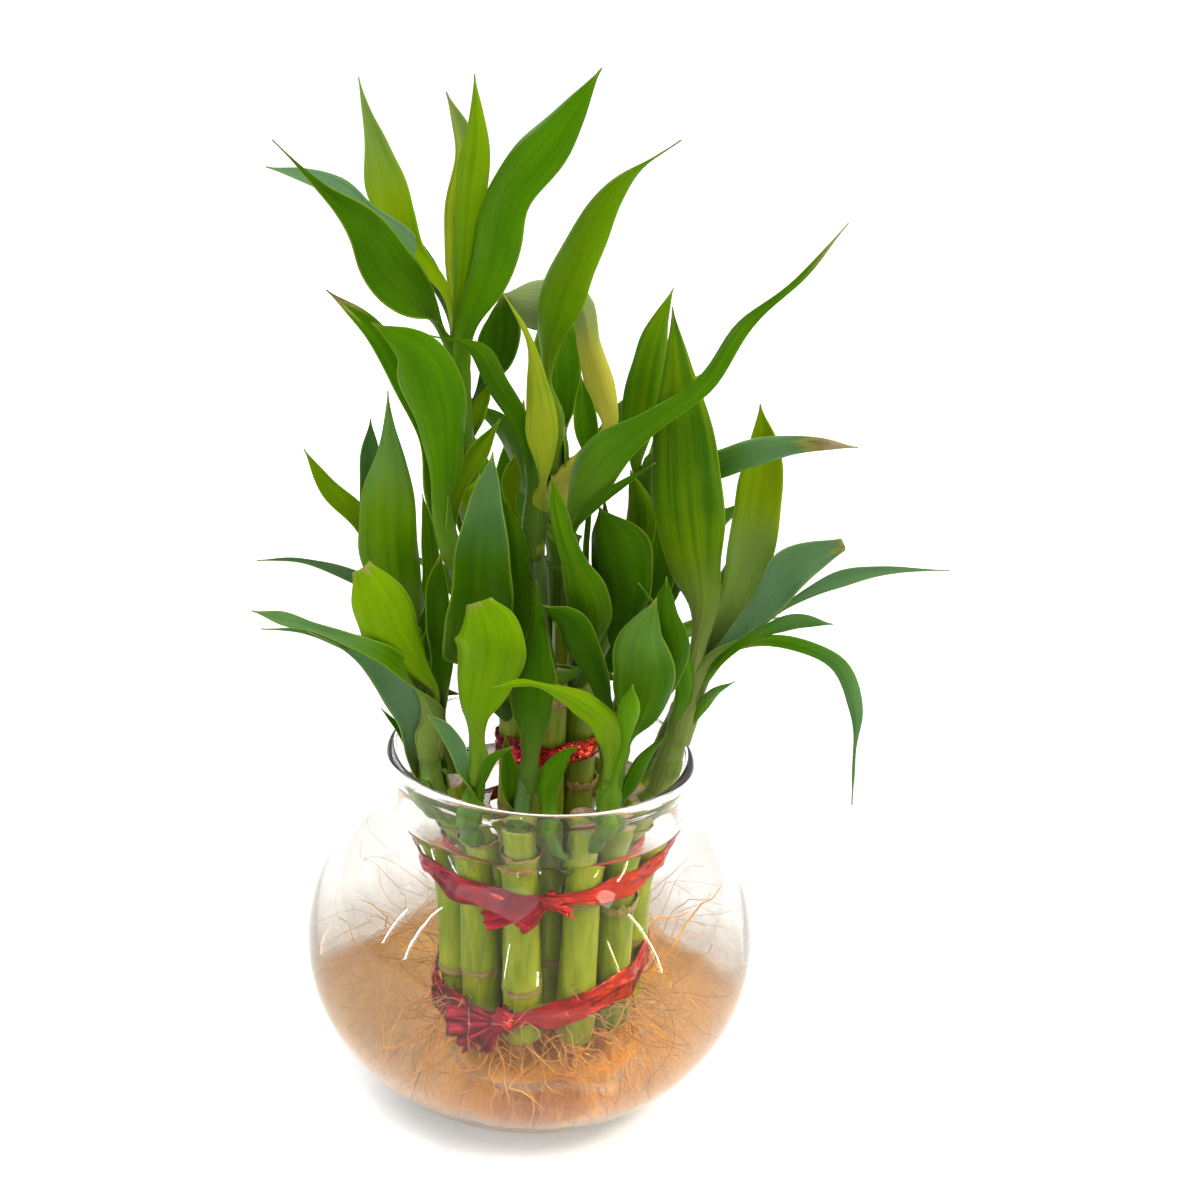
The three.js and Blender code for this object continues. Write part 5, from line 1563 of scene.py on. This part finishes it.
def add_blade(form, layers, stem, share, stem_radius, order, leaf, look):
    """A leaf: its foot clasps the stem as a sheath, then opens into a blade with slightly waved edges."""
    width, seed = leaf["width"], look["seed"]
    # The painted bluish sheen grows in along the blade over this span of its length.
    sheen_start = mix(0.5, 0.02, smoothstep(0.5, 0.8, look["cool"]))
    sheen_shares = leaf.get("cool_span", (sheen_start, sheen_start + 0.35))
    root, stem_way = stem.at(share), stem.tangent(share)
    lean = carried(Vector(leaf["via"][0]) - root, stem_way)
    clasp = stem_radius * mix(1, STEM_TAPER, share) + 0.45 + 0.22 * order
    low = max(share - CLASP_SHARE, 0.02)
    foot = [stem.at(mix(low, share, part)) + lean * clasp for part in (0, 0.5)]
    path = Path(foot + [root + lean * clasp] + leaf["via"])
    foot_length = (foot[1] - foot[0]).length + (root + lean * clasp - foot[1]).length
    foot_share = min(foot_length / path.length, 0.5)
    frames = blade_frames(path, leaf, lean, foot_share, BLADE_ROWS)
    made = bmesh.ops.create_grid(form, x_segments=BLADE_COLUMNS, y_segments=BLADE_ROWS, size=1)
    place = {vert: (vert.co.x, (vert.co.y + 1) / 2) for vert in made["verts"]}
    for face_made in {face_made for vert in place for face_made in vert.link_faces}:
        face_made.material_index = 0
        for loop in face_made.loops:
            across, along = place[loop.vert]
            loop[layers["uv"]].uv = ((across + 1) / 2, along)
    for vert, (across, along) in place.items():
        middle, side, up = frames[round(along * BLADE_ROWS)]
        on_blade = (along - foot_share) / (1 - foot_share)
        blade_half = max(width * width_share(leaf, on_blade) / 2, mix(1.0, 0.12, max(on_blade, 0)))
        snug = clasp - 0.9 * (1 - smoothstep(0, 0.12, along))
        seen_half = mix(snug, blade_half, smoothstep(-0.02, 0.12, on_blade))
        curl = mix(CLASP_TURN, TROUGH_TURN, smoothstep(0.0, 0.3, on_blade))
        reach = seen_half / math.sin(min(curl, math.pi / 2))
        turn = abs(across) * curl * 0.5 + across * across * curl * 0.5
        free = smoothstep(0.1, 0.35, on_blade)
        hand = 1 if across > 0 else -1
        sway = 0.045 * math.sin(11 * along + 6 * seed + 1.1 * hand)
        sway += 0.03 * math.sin(25 * along + 9 * seed + 1.9 * hand)
        out = hand * math.sin(turn) * reach * (1 + free * sway * abs(across))
        lift = (1 - math.cos(turn)) * reach
        ripple = EDGE_WAVE * width * math.sin(9 * along + (2 if across > 0 else 0)) * abs(across)
        ripple += 0.040 * width * math.sin(21 * along + 3 * across + 20 * seed) * across * across
        tip_narrow = smoothstep(1.0, 0.75, on_blade)
        vert.co = middle + side * out + up * (lift + ripple * free * tip_narrow)
        for key, value in look.items():
            vert[layers[key]] = value
        vert[layers["cool"]] = look["cool"] * smoothstep(*sheen_shares, on_blade)
        vert[layers["thick"]][0] = mix(1.0, 0.25, abs(across) ** 2) * mix(1.0, 0.6, along)


def add_husk(form, layers, foot, way, radius, look):
    """The dry torn remains of an old sheath round a cane's joint."""
    columns, rows = 48, 5
    made = bmesh.ops.create_grid(form, x_segments=columns, y_segments=rows, size=1)
    place = {vert: ((vert.co.x + 1) / 2, (vert.co.y + 1) / 2) for vert in made["verts"]}
    for face_made in {face_made for vert in place for face_made in vert.link_faces}:
        face_made.material_index = 1
        for loop in face_made.loops:
            loop[layers["uv"]].uv = place[loop.vert]
    side = way.orthogonal().normalized()
    across = way.cross(side)
    for vert, (around, up) in place.items():
        turn = around * TAU
        ring = side * math.cos(turn) + across * math.sin(turn)
        tear = 2.6 + 2.4 * noise.noise(ring * 2.1 + Vector((9 * look["seed"], 0, 0)))
        tear += 1.8 * noise.noise(ring * 7 + Vector((0, 9 * look["seed"], 0)))
        flare = radius + 0.25 + (0.5 + 0.5 * noise.noise(ring * 5)) * up * 1.1
        vert.co = foot + ring * flare + way * max(tear, 0.5) * (up - 0.35)
        for key, value in look.items():
            vert[layers[key]] = value
        vert[layers["thick"]][0] = 0.3


def bundle_x(z):
    share = (z - CANE_FOOT_Z) / (INNER_TOP_Z - CANE_FOOT_Z)
    return mix(BUNDLE_FOOT_X, BUNDLE_TOP_X, share)


def bundle_point(radius, angle, z):
    return polar(radius, angle, z) + Vector((bundle_x(z), 0, 0))


def make_cane_form(foot, top, joints, tone):
    """A jointed culm: waisted between its joints, with a raised brown scar at each, cut square at the top."""
    length = (top - foot).length
    profile = [(0, 0.4), (CANE_RADIUS * 0.55, 0.1), (CANE_RADIUS - 0.9, 0.2), (CANE_RADIUS - 0.35, 0.9)]
    marks = [0] + joints + [length]
    for low, high in zip(marks, marks[1:]):
        span = high - low
        for share in (0.12, 0.22, 0.35, 0.5, 0.65, 0.78, 0.88):
            waist = 0.22 * math.sin(math.pi * share)
            profile.append((CANE_RADIUS - 0.02 - waist, low + span * share))
        if high < length:
            profile += [
                (CANE_RADIUS + 0.05, high - 1.2), (CANE_RADIUS + NODE_SWELL, high - 0.5),
                (CANE_RADIUS + NODE_SWELL - 0.3, high - 0.15), (CANE_RADIUS + NODE_SWELL - 0.05, high + 0.25),
                (CANE_RADIUS + 0.02, high + 1.1),
            ]
    profile += [
        (CANE_RADIUS - 0.1, length - 0.5), (CANE_RADIUS - 0.25, length - 0.12), (CANE_RADIUS - 0.6, length),
        (CANE_RADIUS * 0.7, length - 0.25), (CANE_RADIUS * 0.35, length - 0.15), (0, length - 0.3),
    ]
    form = lathe(profile, CANE_STEPS)
    tone_layer = form.verts.layers.float.new("tone")
    scar_layer = form.verts.layers.float.new("scar")
    cut_layer = form.verts.layers.float.new("cut")
    form.verts.layers.float.new("seed")
    form.loops.layers.uv.new("blade")
    for vert in form.verts:
        z = vert.co.z
        radius = math.hypot(vert.co.x, vert.co.y)
        nearest = min(abs(z - joint) for joint in joints + [length + 1.2]) if joints else 99
        vert[tone_layer] = tone
        vert[scar_layer] = 1 - smoothstep(0.3, 1.7, nearest)
        vert[cut_layer] = 1 if z > length - 0.6 and radius < CANE_RADIUS - 0.4 else 0
        lump = noise.noise(Vector((vert.co.x * 0.25, vert.co.y * 0.25, z * 0.09 + 50 * tone)))
        if radius > 1:
            vert.co.x *= 1 + 0.03 * lump
            vert.co.y *= 1 + 0.03 * lump
    aim = Vector((0, 0, 1)).rotation_difference((top - foot).normalized()).to_matrix().to_4x4()
    bmesh.ops.transform(form, matrix=Matrix.Translation(foot) @ aim, verts=form.verts)
    return form


def make_stalk(stalk, foot_ring, top_ring, materials, rng, tones):
    """One cane with its shoots: a piece for the cane and its young stems, and one for its leaves."""
    foot = bundle_point(foot_ring, stalk["foot_angle"], CANE_FOOT_Z)
    top = bundle_point(top_ring, stalk["angle"], stalk["top"])
    length = (top - foot).length
    heights = [stalk["joint"] - CANE_FOOT_Z + step * INTERNODE for step in (-1, 0, 1)]
    joints = [z for z in heights if JOINT_MARGIN < z < length - JOINT_MARGIN]
    cane = make_cane_form(foot, top, joints, tones["cane"])
    blades = bmesh.new()
    layers = {
        key: blades.verts.layers.float.new(key) for key in ("tone", "gold", "cool", "dryness", "seed", "pale")
    }
    layers["uv"] = blades.loops.layers.uv.new("blade")
    layers["thick"] = blades.verts.layers.deform.verify()
    way = (top - foot).normalized()
    for joint in joints[-1:]:
        husk_look = {"tone": 0.5, "dryness": rng.uniform(0.5, 1), "seed": rng.random()}
        add_husk(blades, layers, foot + way * joint, way, CANE_RADIUS + NODE_SWELL, husk_look)
    for number, shoot in enumerate(stalk["shoots"]):
        radius = shoot.get("radius", STEM_RADIUS)
        path = Path(shoot["stem"])
        stem = tube(path, lambda share: radius * mix(1.0, STEM_TAPER, share), 14, 16)
        stem_tone = stem.verts.layers.float.new("tone")
        stem_seed = stem.verts.layers.float.new("seed")
        stem.verts.layers.float.new("scar")
        stem.verts.layers.float.new("cut")
        uv = stem.loops.layers.uv.new("blade")
        for vert in stem.verts:
            vert[stem_tone] = tones["stem"]
            vert[stem_seed] = 0.3
        for face_made in stem.faces:
            for loop in face_made.loops:
                loop[uv].uv = (0.5 + 0.02 * loop.vert.co.x, loop.vert.co.z * 0.01)
        absorb(cane, stem, 1)
        for order, leaf in enumerate(shoot["leaves"]):
            share = leaf.get("from", 0.97 - 0.035 * order)
            seed = rng.random()
            look = {
                "seed": seed,
                "tone": leaf.get("tone", 0.1 + 0.3 * seed),
                "gold": leaf.get("gold", 0),
                "cool": leaf.get("cool", 0),
                "dryness": leaf.get("dry", 0),
                "pale": PALE_STEMS.get(stalk["name"], 0.25),
            }
            add_blade(blades, layers, path, share, radius, order, leaf, look)
    new_piece(stalk["name"] + "_cane", cane, materials[:2], [stalk["name"]])
    leaves = new_piece(stalk["name"] + "_leaves", blades, materials[2:])
    leaves.vertex_groups.new(name="thick")
    solidified(leaves, BLADE_THICKNESS, "thick")


def make_stalks(cane, sheath, leaf):
    rng = random.Random(11)
    for tier, foot_ring, top_ring in (
        (outer_tier, OUTER_FOOT_RING, OUTER_TOP_RING),
        (inner_tier, INNER_FOOT_RING, INNER_TOP_RING),
    ):
        for stalk in tier:
            stem_tone = PALE_STEMS.get(stalk["name"], 0.3 * rng.random())
            tones = {"cane": 0.35 + 0.5 * rng.random(), "stem": stem_tone}
            make_stalk(stalk, foot_ring, top_ring, [cane, sheath, leaf, sheath], rng, tones)


# The roots: tangled strands under the canes, thin ones that run out, and a haze of fine hairs round them
def within_bowl(point, clear=3.0):
    """Draws a point back inside the glass."""
    z = min(max(point.z, FLOOR_THICKNESS + clear), ROOT_TOP_Z)
    most = min(bowl_radius(z, GLASS) - clear, ROOT_REACH)
    radius = math.hypot(point.x, point.y)
    share = min(1, most / radius) if radius else 1
    return Vector((point.x * share, point.y * share, z))


def wandering(rng, start, direction, length, steps, bend, sink):
    points = [start]
    heading = direction.normalized()
    for _ in range(steps):
        turn = Vector((rng.uniform(-1, 1), rng.uniform(-1, 1), rng.uniform(-1, 1))) * bend
        heading = (heading + turn + Vector((0, 0, -sink))).normalized()
        points.append(within_bowl(points[-1] + heading * length / steps))
    return points


def straight_strands(doublings, sides, rings):
    """A block of upright closed strands of radius 1, made from one by doubling."""
    form = bmesh.new()
    bmesh.ops.create_cone(
        form, cap_ends=True, segments=sides, radius1=1, radius2=1, depth=2,
        matrix=Matrix.Translation((0, 0, 1)),
    )
    uprights = [edge for edge in form.edges if abs(edge.verts[0].co.z - edge.verts[1].co.z) > 1]
    bmesh.ops.subdivide_edges(form, edges=uprights, cuts=rings - 1, use_grid_fill=False)
    for _ in range(doublings):
        bmesh.ops.duplicate(form, geom=form.verts[:] + form.edges[:] + form.faces[:])
    return form


def make_strands(name, doublings, sides, rings, rooting, radii, material, replaced=()):
    """Many thin roots in one piece. rooting gives the points of each, one for every ring."""
    form = straight_strands(doublings, sides, rings)
    block = sides * (rings + 1)
    frames, radius = [], 0
    for i, vert in enumerate(form.verts):
        if i % block == 0:
            points = rooting()
            radius = radii()
            side = (points[1] - points[0]).orthogonal().normalized()
            frames = []
            for j, point in enumerate(points):
                tangent = (points[min(j + 1, rings)] - points[max(j - 1, 0)]).normalized()
                side = (side - tangent * side.dot(tangent)).normalized()
                frames.append((point, side, tangent.cross(side)))
        ring = round(vert.co.z / 2 * rings)
        middle, side, up = frames[ring]
        vert.co = middle + (side * vert.co.x + up * vert.co.y) * radius * mix(1.0, 0.4, ring / rings)
    return new_piece(name, form, [material], replaced)


def make_felt(material):
    """The finest hairs lie matted over the bowl's floor: a soft bed that thins to a veil up the wall."""
    form = bmesh.new()
    fade = form.verts.layers.float.new("fade")
    made = bmesh.ops.create_grid(form, x_segments=120, y_segments=120, size=1)
    for vert in made["verts"]:
        ring = Vector((vert.co.x, vert.co.y, 0)).normalized()
        bed_reach = FELT_REACH + 3.5 * max(ring.y, -0.3)
        bed_reach += 2.5 * noise.noise(ring * 1.3) + 1.5 * noise.noise(ring * 5)
        radius = max(abs(vert.co.x), abs(vert.co.y)) * min(bed_reach + VEIL_REACH, BOWL_RADIUS - 6)
        reach_share = (radius + 1.4) / (BOWL_RADIUS - GLASS)
        wall_z = BOWL_MIDDLE_Z - (BOWL_HALF_HEIGHT - GLASS) * math.sqrt(1 - reach_share ** 2)
        lump = noise.noise(ring * radius * 0.12) + 0.5 * noise.noise(ring * radius * 0.3)
        swell = (3.4 + 1.5 * lump) * (1 - smoothstep(0.3, 1, radius / bed_reach))
        z = max(wall_z, FLOOR_THICKNESS) + 1.2 + swell
        vert.co = ring * radius + Vector((0, 0, z))
        past = radius - bed_reach
        vert[fade] = 0.45 * smoothstep(-3, 3, past) + 0.55 * smoothstep(1, VEIL_REACH, past)
    bmesh.ops.recalc_face_normals(form, faces=form.faces)
    felt = new_piece("root_felt", form, [material])
    solidified(felt, FELT_THICKNESS)


def make_cushion(material):
    """The thick of the roots under the canes: a low soft mound that fades out down its sides."""
    form = bmesh.new()
    fade = form.verts.layers.float.new("fade")
    bmesh.ops.create_icosphere(form, subdivisions=6, radius=1)
    for vert in form.verts:
        way = vert.co.copy()
        lump = 1 + 0.25 * noise.noise(way * 1.6) + 0.05 * noise.noise(way * 5)
        spread = Vector((way.x * CUSHION_REACH, way.y * (CUSHION_REACH - 1), way.z * 5)) * lump
        vert.co = spread + Vector((bundle_x(CANE_FOOT_Z) + 3, 0, CANE_FOOT_Z - 10))
        vert[fade] = mix(1.0, 0.15, smoothstep(-0.05, 0.45, way.z))
    new_piece("root_cushion", form, [material])


def make_roots(tangle_material, runner_material, hair_material):
    rng = random.Random(37)

    def tangle():
        angle = rng.uniform(0, 360)
        start = bundle_point(rng.uniform(2, OUTER_FOOT_RING + 3), angle, CANE_FOOT_Z + rng.uniform(-4, 3))
        direction = polar(1, angle + rng.uniform(-80, 80), rng.uniform(-1.2, -0.1))
        return wandering(rng, start, direction, rng.uniform(16, 36), TANGLE_RINGS, 0.75, 0.10)

    def runner():
        angle = rng.choice((rng.uniform(-130, -40), rng.uniform(30, 120), rng.uniform(0, 360)))
        start = bundle_point(OUTER_FOOT_RING + 3, angle, CANE_FOOT_Z + rng.uniform(-2, 8))
        direction = polar(1, angle + rng.uniform(-50, 50), rng.uniform(-0.4, 0.8))
        return wandering(rng, start, direction, rng.uniform(18, 38), TANGLE_RINGS, 0.55, 0.02)

    def hair():
        angle = rng.choice((rng.uniform(50, 310), rng.uniform(0, 360)))
        reach = 46 * math.sqrt(rng.uniform(0.12, 1))
        start = within_bowl(bundle_point(reach, angle, mix(7, 36, rng.random() ** 1.6)))
        direction = polar(1, angle + rng.uniform(-150, 150), rng.uniform(-0.8, 0.5))
        return wandering(rng, start, direction, rng.uniform(9, 26), HAIR_RINGS, 0.55, 0.05)

    make_strands(
        "root_strands", 8, 5, TANGLE_RINGS, tangle, lambda: rng.uniform(0.10, 0.30),
        tangle_material, ["root_mat"],
    )
    make_strands("root_runners", 7, 4, TANGLE_RINGS, runner, lambda: rng.uniform(0.07, 0.18), runner_material)
    make_strands("root_hairs", 10, 3, HAIR_RINGS, hair, lambda: rng.uniform(0.04, 0.07), hair_material)


# The foil ribbons: crumpled bands round the canes, each with a knot and short tails in front
def taut_reach(tier, foot_ring, top_ring, z):
    """How far out a band lies that is drawn taut round a tier's canes: it runs straight from cane to cane."""
    middle = Vector((bundle_x(z), 0, z))
    spots = []
    for stalk in tier:
        foot = bundle_point(foot_ring, stalk["foot_angle"], CANE_FOOT_Z)
        top = bundle_point(top_ring, stalk["angle"], stalk["top"])
        spots.append(foot.lerp(top, (z - CANE_FOOT_Z) / (stalk["top"] - CANE_FOOT_Z)) - middle)
    grip = CANE_RADIUS + 0.3
    corners = []
    for degree in range(360):
        outward = polar(1, degree, 0)
        outermost = max(spots, key=outward.dot)
        corners.append(outermost + outward * grip)

    def reach(around):
        way = polar(1, around, 0)
        beside = Vector((-way.y, way.x, 0))
        for near, far in zip(corners, corners[1:] + corners[:1]):
            offset_near, offset_far = near.dot(beside), far.dot(beside)
            if offset_near * offset_far <= 0 and near.dot(way) > 0 and offset_near != offset_far:
                share = offset_near / (offset_near - offset_far)
                return near.lerp(far, share).dot(way)
        return grip
    return reach


def make_band(reach, width, middle_z, tilt, knot_angle, seed):
    """A band round the canes, gathered at its knot, with long folds that run round with it."""
    form = bmesh.new()
    columns = 200
    made = bmesh.ops.create_grid(form, x_segments=columns, y_segments=14, size=1)
    reaches = [reach(360 * column / columns) for column in range(columns + 1)]
    for vert in made["verts"]:
        around, up = (vert.co.x + 1) * 180, vert.co.y
        turn = math.radians(around)
        ring_spot = Vector((math.cos(turn), math.sin(turn), 0)) * 2.2
        gathered = smoothstep(0.88, 0.995, math.cos(math.radians(around - knot_angle)))
        bunch = (0.9 + 0.28 * noise.noise(ring_spot + Vector((0, 0, seed)))) * mix(1.0, 0.5, gathered)
        drift = ring_spot * 0.9
        fold = noise.noise(Vector((drift.x, drift.y, up * 3.2 + seed * 3)))
        pleat = noise.noise(Vector((ring_spot.x * 4, ring_spot.y * 4, up * 2.0 + seed)))
        spot = polar(reaches[round(around / 360 * columns)] + 0.5 + 0.8 * fold + 0.4 * pleat, around, 0)
        lift = up * width / 2 * bunch + 0.9 * noise.noise(ring_spot * 1.3 + Vector((0, seed, 0)))
        slope = spot.x * math.tan(math.radians(tilt))
        vert.co = spot + Vector((bundle_x(middle_z), 0, middle_z + lift + slope))
    bmesh.ops.remove_doubles(form, verts=form.verts, dist=0.01)
    return form


def make_tail(lean, length, wide, seed):
    """One short end of a ribbon: pleated, narrow at the knot and fanned out below it."""
    tail = bmesh.new()
    strip = bmesh.ops.create_grid(tail, x_segments=10, y_segments=18, size=1)
    for vert in strip["verts"]:
        share, along = vert.co.x, (1 - vert.co.y) / 2
        spread = mix(0.22, 1.0, smoothstep(0, 0.9, along)) * wide / 2
        pleat = 0.9 * math.sin(7 * share + seed) * (0.25 + 0.75 * along)
        jag = 1.1 * abs((share * 2 + seed) % 2 - 1) * along
        local = Vector((share * spread, -1.7 * math.sin(along * 2.4) - pleat, -along * length - jag))
        vert.co = Matrix.Rotation(math.radians(-lean), 3, "Y") @ local
    return tail


def make_ribbon(name, node, reach, tie, seed, material):
    width, middle_z, tilt, knot_angle, tails = tie
    form = make_band(reach, width, middle_z, tilt, knot_angle, seed)
    knot_reach = reach(knot_angle)
    knot_z = middle_z + knot_reach * math.sin(math.radians(knot_angle)) * math.tan(math.radians(tilt))
    at = bundle_point(knot_reach + 1.2, knot_angle, knot_z)
    knot = bmesh.new()
    bmesh.ops.create_icosphere(knot, subdivisions=4, radius=2.6)
    for vert in knot.verts:
        vert.co += vert.normal * 1.1 * noise.noise(vert.co * 0.8 + Vector((seed, 0, 0)))
        vert.co += vert.normal * 0.5 * noise.noise(vert.co * 2.2)
    bmesh.ops.translate(knot, vec=at, verts=knot.verts)
    absorb(form, knot)
    turn = Matrix.Rotation(math.radians(knot_angle), 3, "Z")
    for order, (lean, length, wide) in enumerate(tails):
        tail = make_tail(lean, length, wide, seed + 1.7 * order)
        for vert in tail.verts:
            vert.co = at + turn @ vert.co
        absorb(form, tail)
    ribbon = new_piece(name, form, [material], [node])
    solidified(ribbon, FOIL_THICKNESS)


def make_ribbons(material):
    upper = taut_reach(outer_tier, OUTER_FOOT_RING, OUTER_TOP_RING, 74)
    lower = taut_reach(outer_tier, OUTER_FOOT_RING, OUTER_TOP_RING, 40)
    inner = taut_reach(inner_tier, INNER_FOOT_RING, INNER_TOP_RING, INNER_RIBBON_Z)
    bow = ((-74, 17, 6), (-48, 10, 5.5), (60, 5, 3))
    scrap = ((-80, 13, 7), (-60, 11, 6), (-95, 8, 5), (-30, 7, 4))
    small = ((-50, 8, 4), (35, 7, 4))
    upper_tie = (UPPER_RIBBON_WIDTH, UPPER_RIBBON_Z, 6, 5, bow)
    make_ribbon("upper_foil", "upper_ribbon", upper, upper_tie, 1.3, material)
    lower_tie = (LOWER_RIBBON_WIDTH, LOWER_RIBBON_Z, 12, -20, scrap)
    make_ribbon("lower_foil", "lower_ribbon", lower, lower_tie, 4.1, material)
    inner_tie = (INNER_RIBBON_WIDTH, INNER_RIBBON_Z, 2, 160, small)
    make_ribbon("inner_foil", "inner_ribbon", inner, inner_tie, 7.7, material)


# The stage: a plain pale floor and soft light
def make_stage():
    form = bmesh.new()
    bmesh.ops.create_grid(form, x_segments=1, y_segments=1, size=6)
    mesh = bpy.data.meshes.new("floor")
    form.to_mesh(mesh)
    form.free()
    mesh.materials.append(make_floor_material())
    floor = bpy.data.objects.new("floor", mesh)
    floor.location.z = -0.0002
    bpy.context.scene.collection.objects.link(floor)
    world = bpy.data.worlds.new("studio")
    world.use_nodes = True
    sky = world.node_tree.nodes["Background"]
    sky.inputs["Color"].default_value = (1, 1, 1, 1)
    sky.inputs["Strength"].default_value = WORLD_LIGHT
    bpy.context.scene.world = world


def make_lamp(name, place, aim, size, power, colour=(1, 1, 1), mirrored=True, lighting=True):
    """A lamp with mirrored off shows in no reflection. One with lighting off adds no soft light to a surface."""
    lamp = bpy.data.lights.new(name, "AREA")
    lamp.shape = "RECTANGLE"
    lamp.size, lamp.size_y = size
    lamp.energy = power
    lamp.color = colour
    holder = bpy.data.objects.new(name, lamp)
    holder.location = place
    holder.rotation_euler = (Vector(aim) - Vector(place)).to_track_quat("-Z", "Y").to_euler()
    holder.visible_glossy = mirrored
    holder.visible_diffuse = lighting
    bpy.context.scene.collection.objects.link(holder)


def make_lamps():
    middle = (0, 0, 0.12)
    make_lamp("key", (0.8, -0.2, 1.5), middle, (0.5, 0.5), 17.5, (1.0, 0.97, 0.88), mirrored=False)
    make_lamp("top", (-0.4, -0.5, 1.8), middle, (1.2, 0.9), 11, (0.98, 0.99, 1.0), mirrored=False)
    for side, place, size, power, colour in (
        ("left", (-0.9, -0.45, 0.55), (0.012, 0.7), 5.5, (0.80, 0.90, 1.0)),
        ("far left", (-0.95, -0.2, 0.4), (0.01, 0.4), 2.5, (0.80, 0.90, 1.0)),
        ("front", (-0.25, -1.2, 0.75), (0.012, 0.5), 2.2, (0.85, 0.92, 1.0)),
        ("below", (0.1, -1.2, 0.5), (0.03, 0.2), 1.0, (0.75, 0.86, 1.0)),
        ("right", (0.9, -0.35, 0.5), (0.014, 0.7), 6.0, (1.0, 0.84, 0.50)),
        ("far right", (0.8, -0.75, 0.6), (0.01, 0.4), 2.5, (1.0, 0.80, 0.42)),
    ):
        make_lamp("strip " + side, place, middle, size, power, colour, lighting=False)
    make_lamp("back", (-0.4, 1.2, 1.0), middle, (0.9, 0.6), 8)


make_camera()
ribs = leaf_rib_group()
speckle = speckle_group()
make_vase(make_glass_material())
make_water(make_water_material())
make_stalks(
    make_cane_material(speckle), make_sheath_material(ribs, speckle), make_leaf_material(ribs, speckle),
)
make_roots(
    make_root_material("root strand", (0.40, 0.12, 0.006), (0.80, 0.34, 0.02), (0.85, 0.46, 0.08)),
    make_root_material("root runner", (0.22, 0.09, 0.02), (0.45, 0.22, 0.06), (0.60, 0.36, 0.14)),
    make_root_material("root hair", (0.34, 0.19, 0.08), (0.52, 0.34, 0.18), (0.60, 0.42, 0.24)),
)
felt_material = make_felt_material()
make_felt(felt_material)
make_cushion(felt_material)
make_ribbons(make_foil_material())
make_stage()
make_lamps()
bpy.context.scene.view_settings.view_transform = "Standard"

bpy.context.view_layer.update()
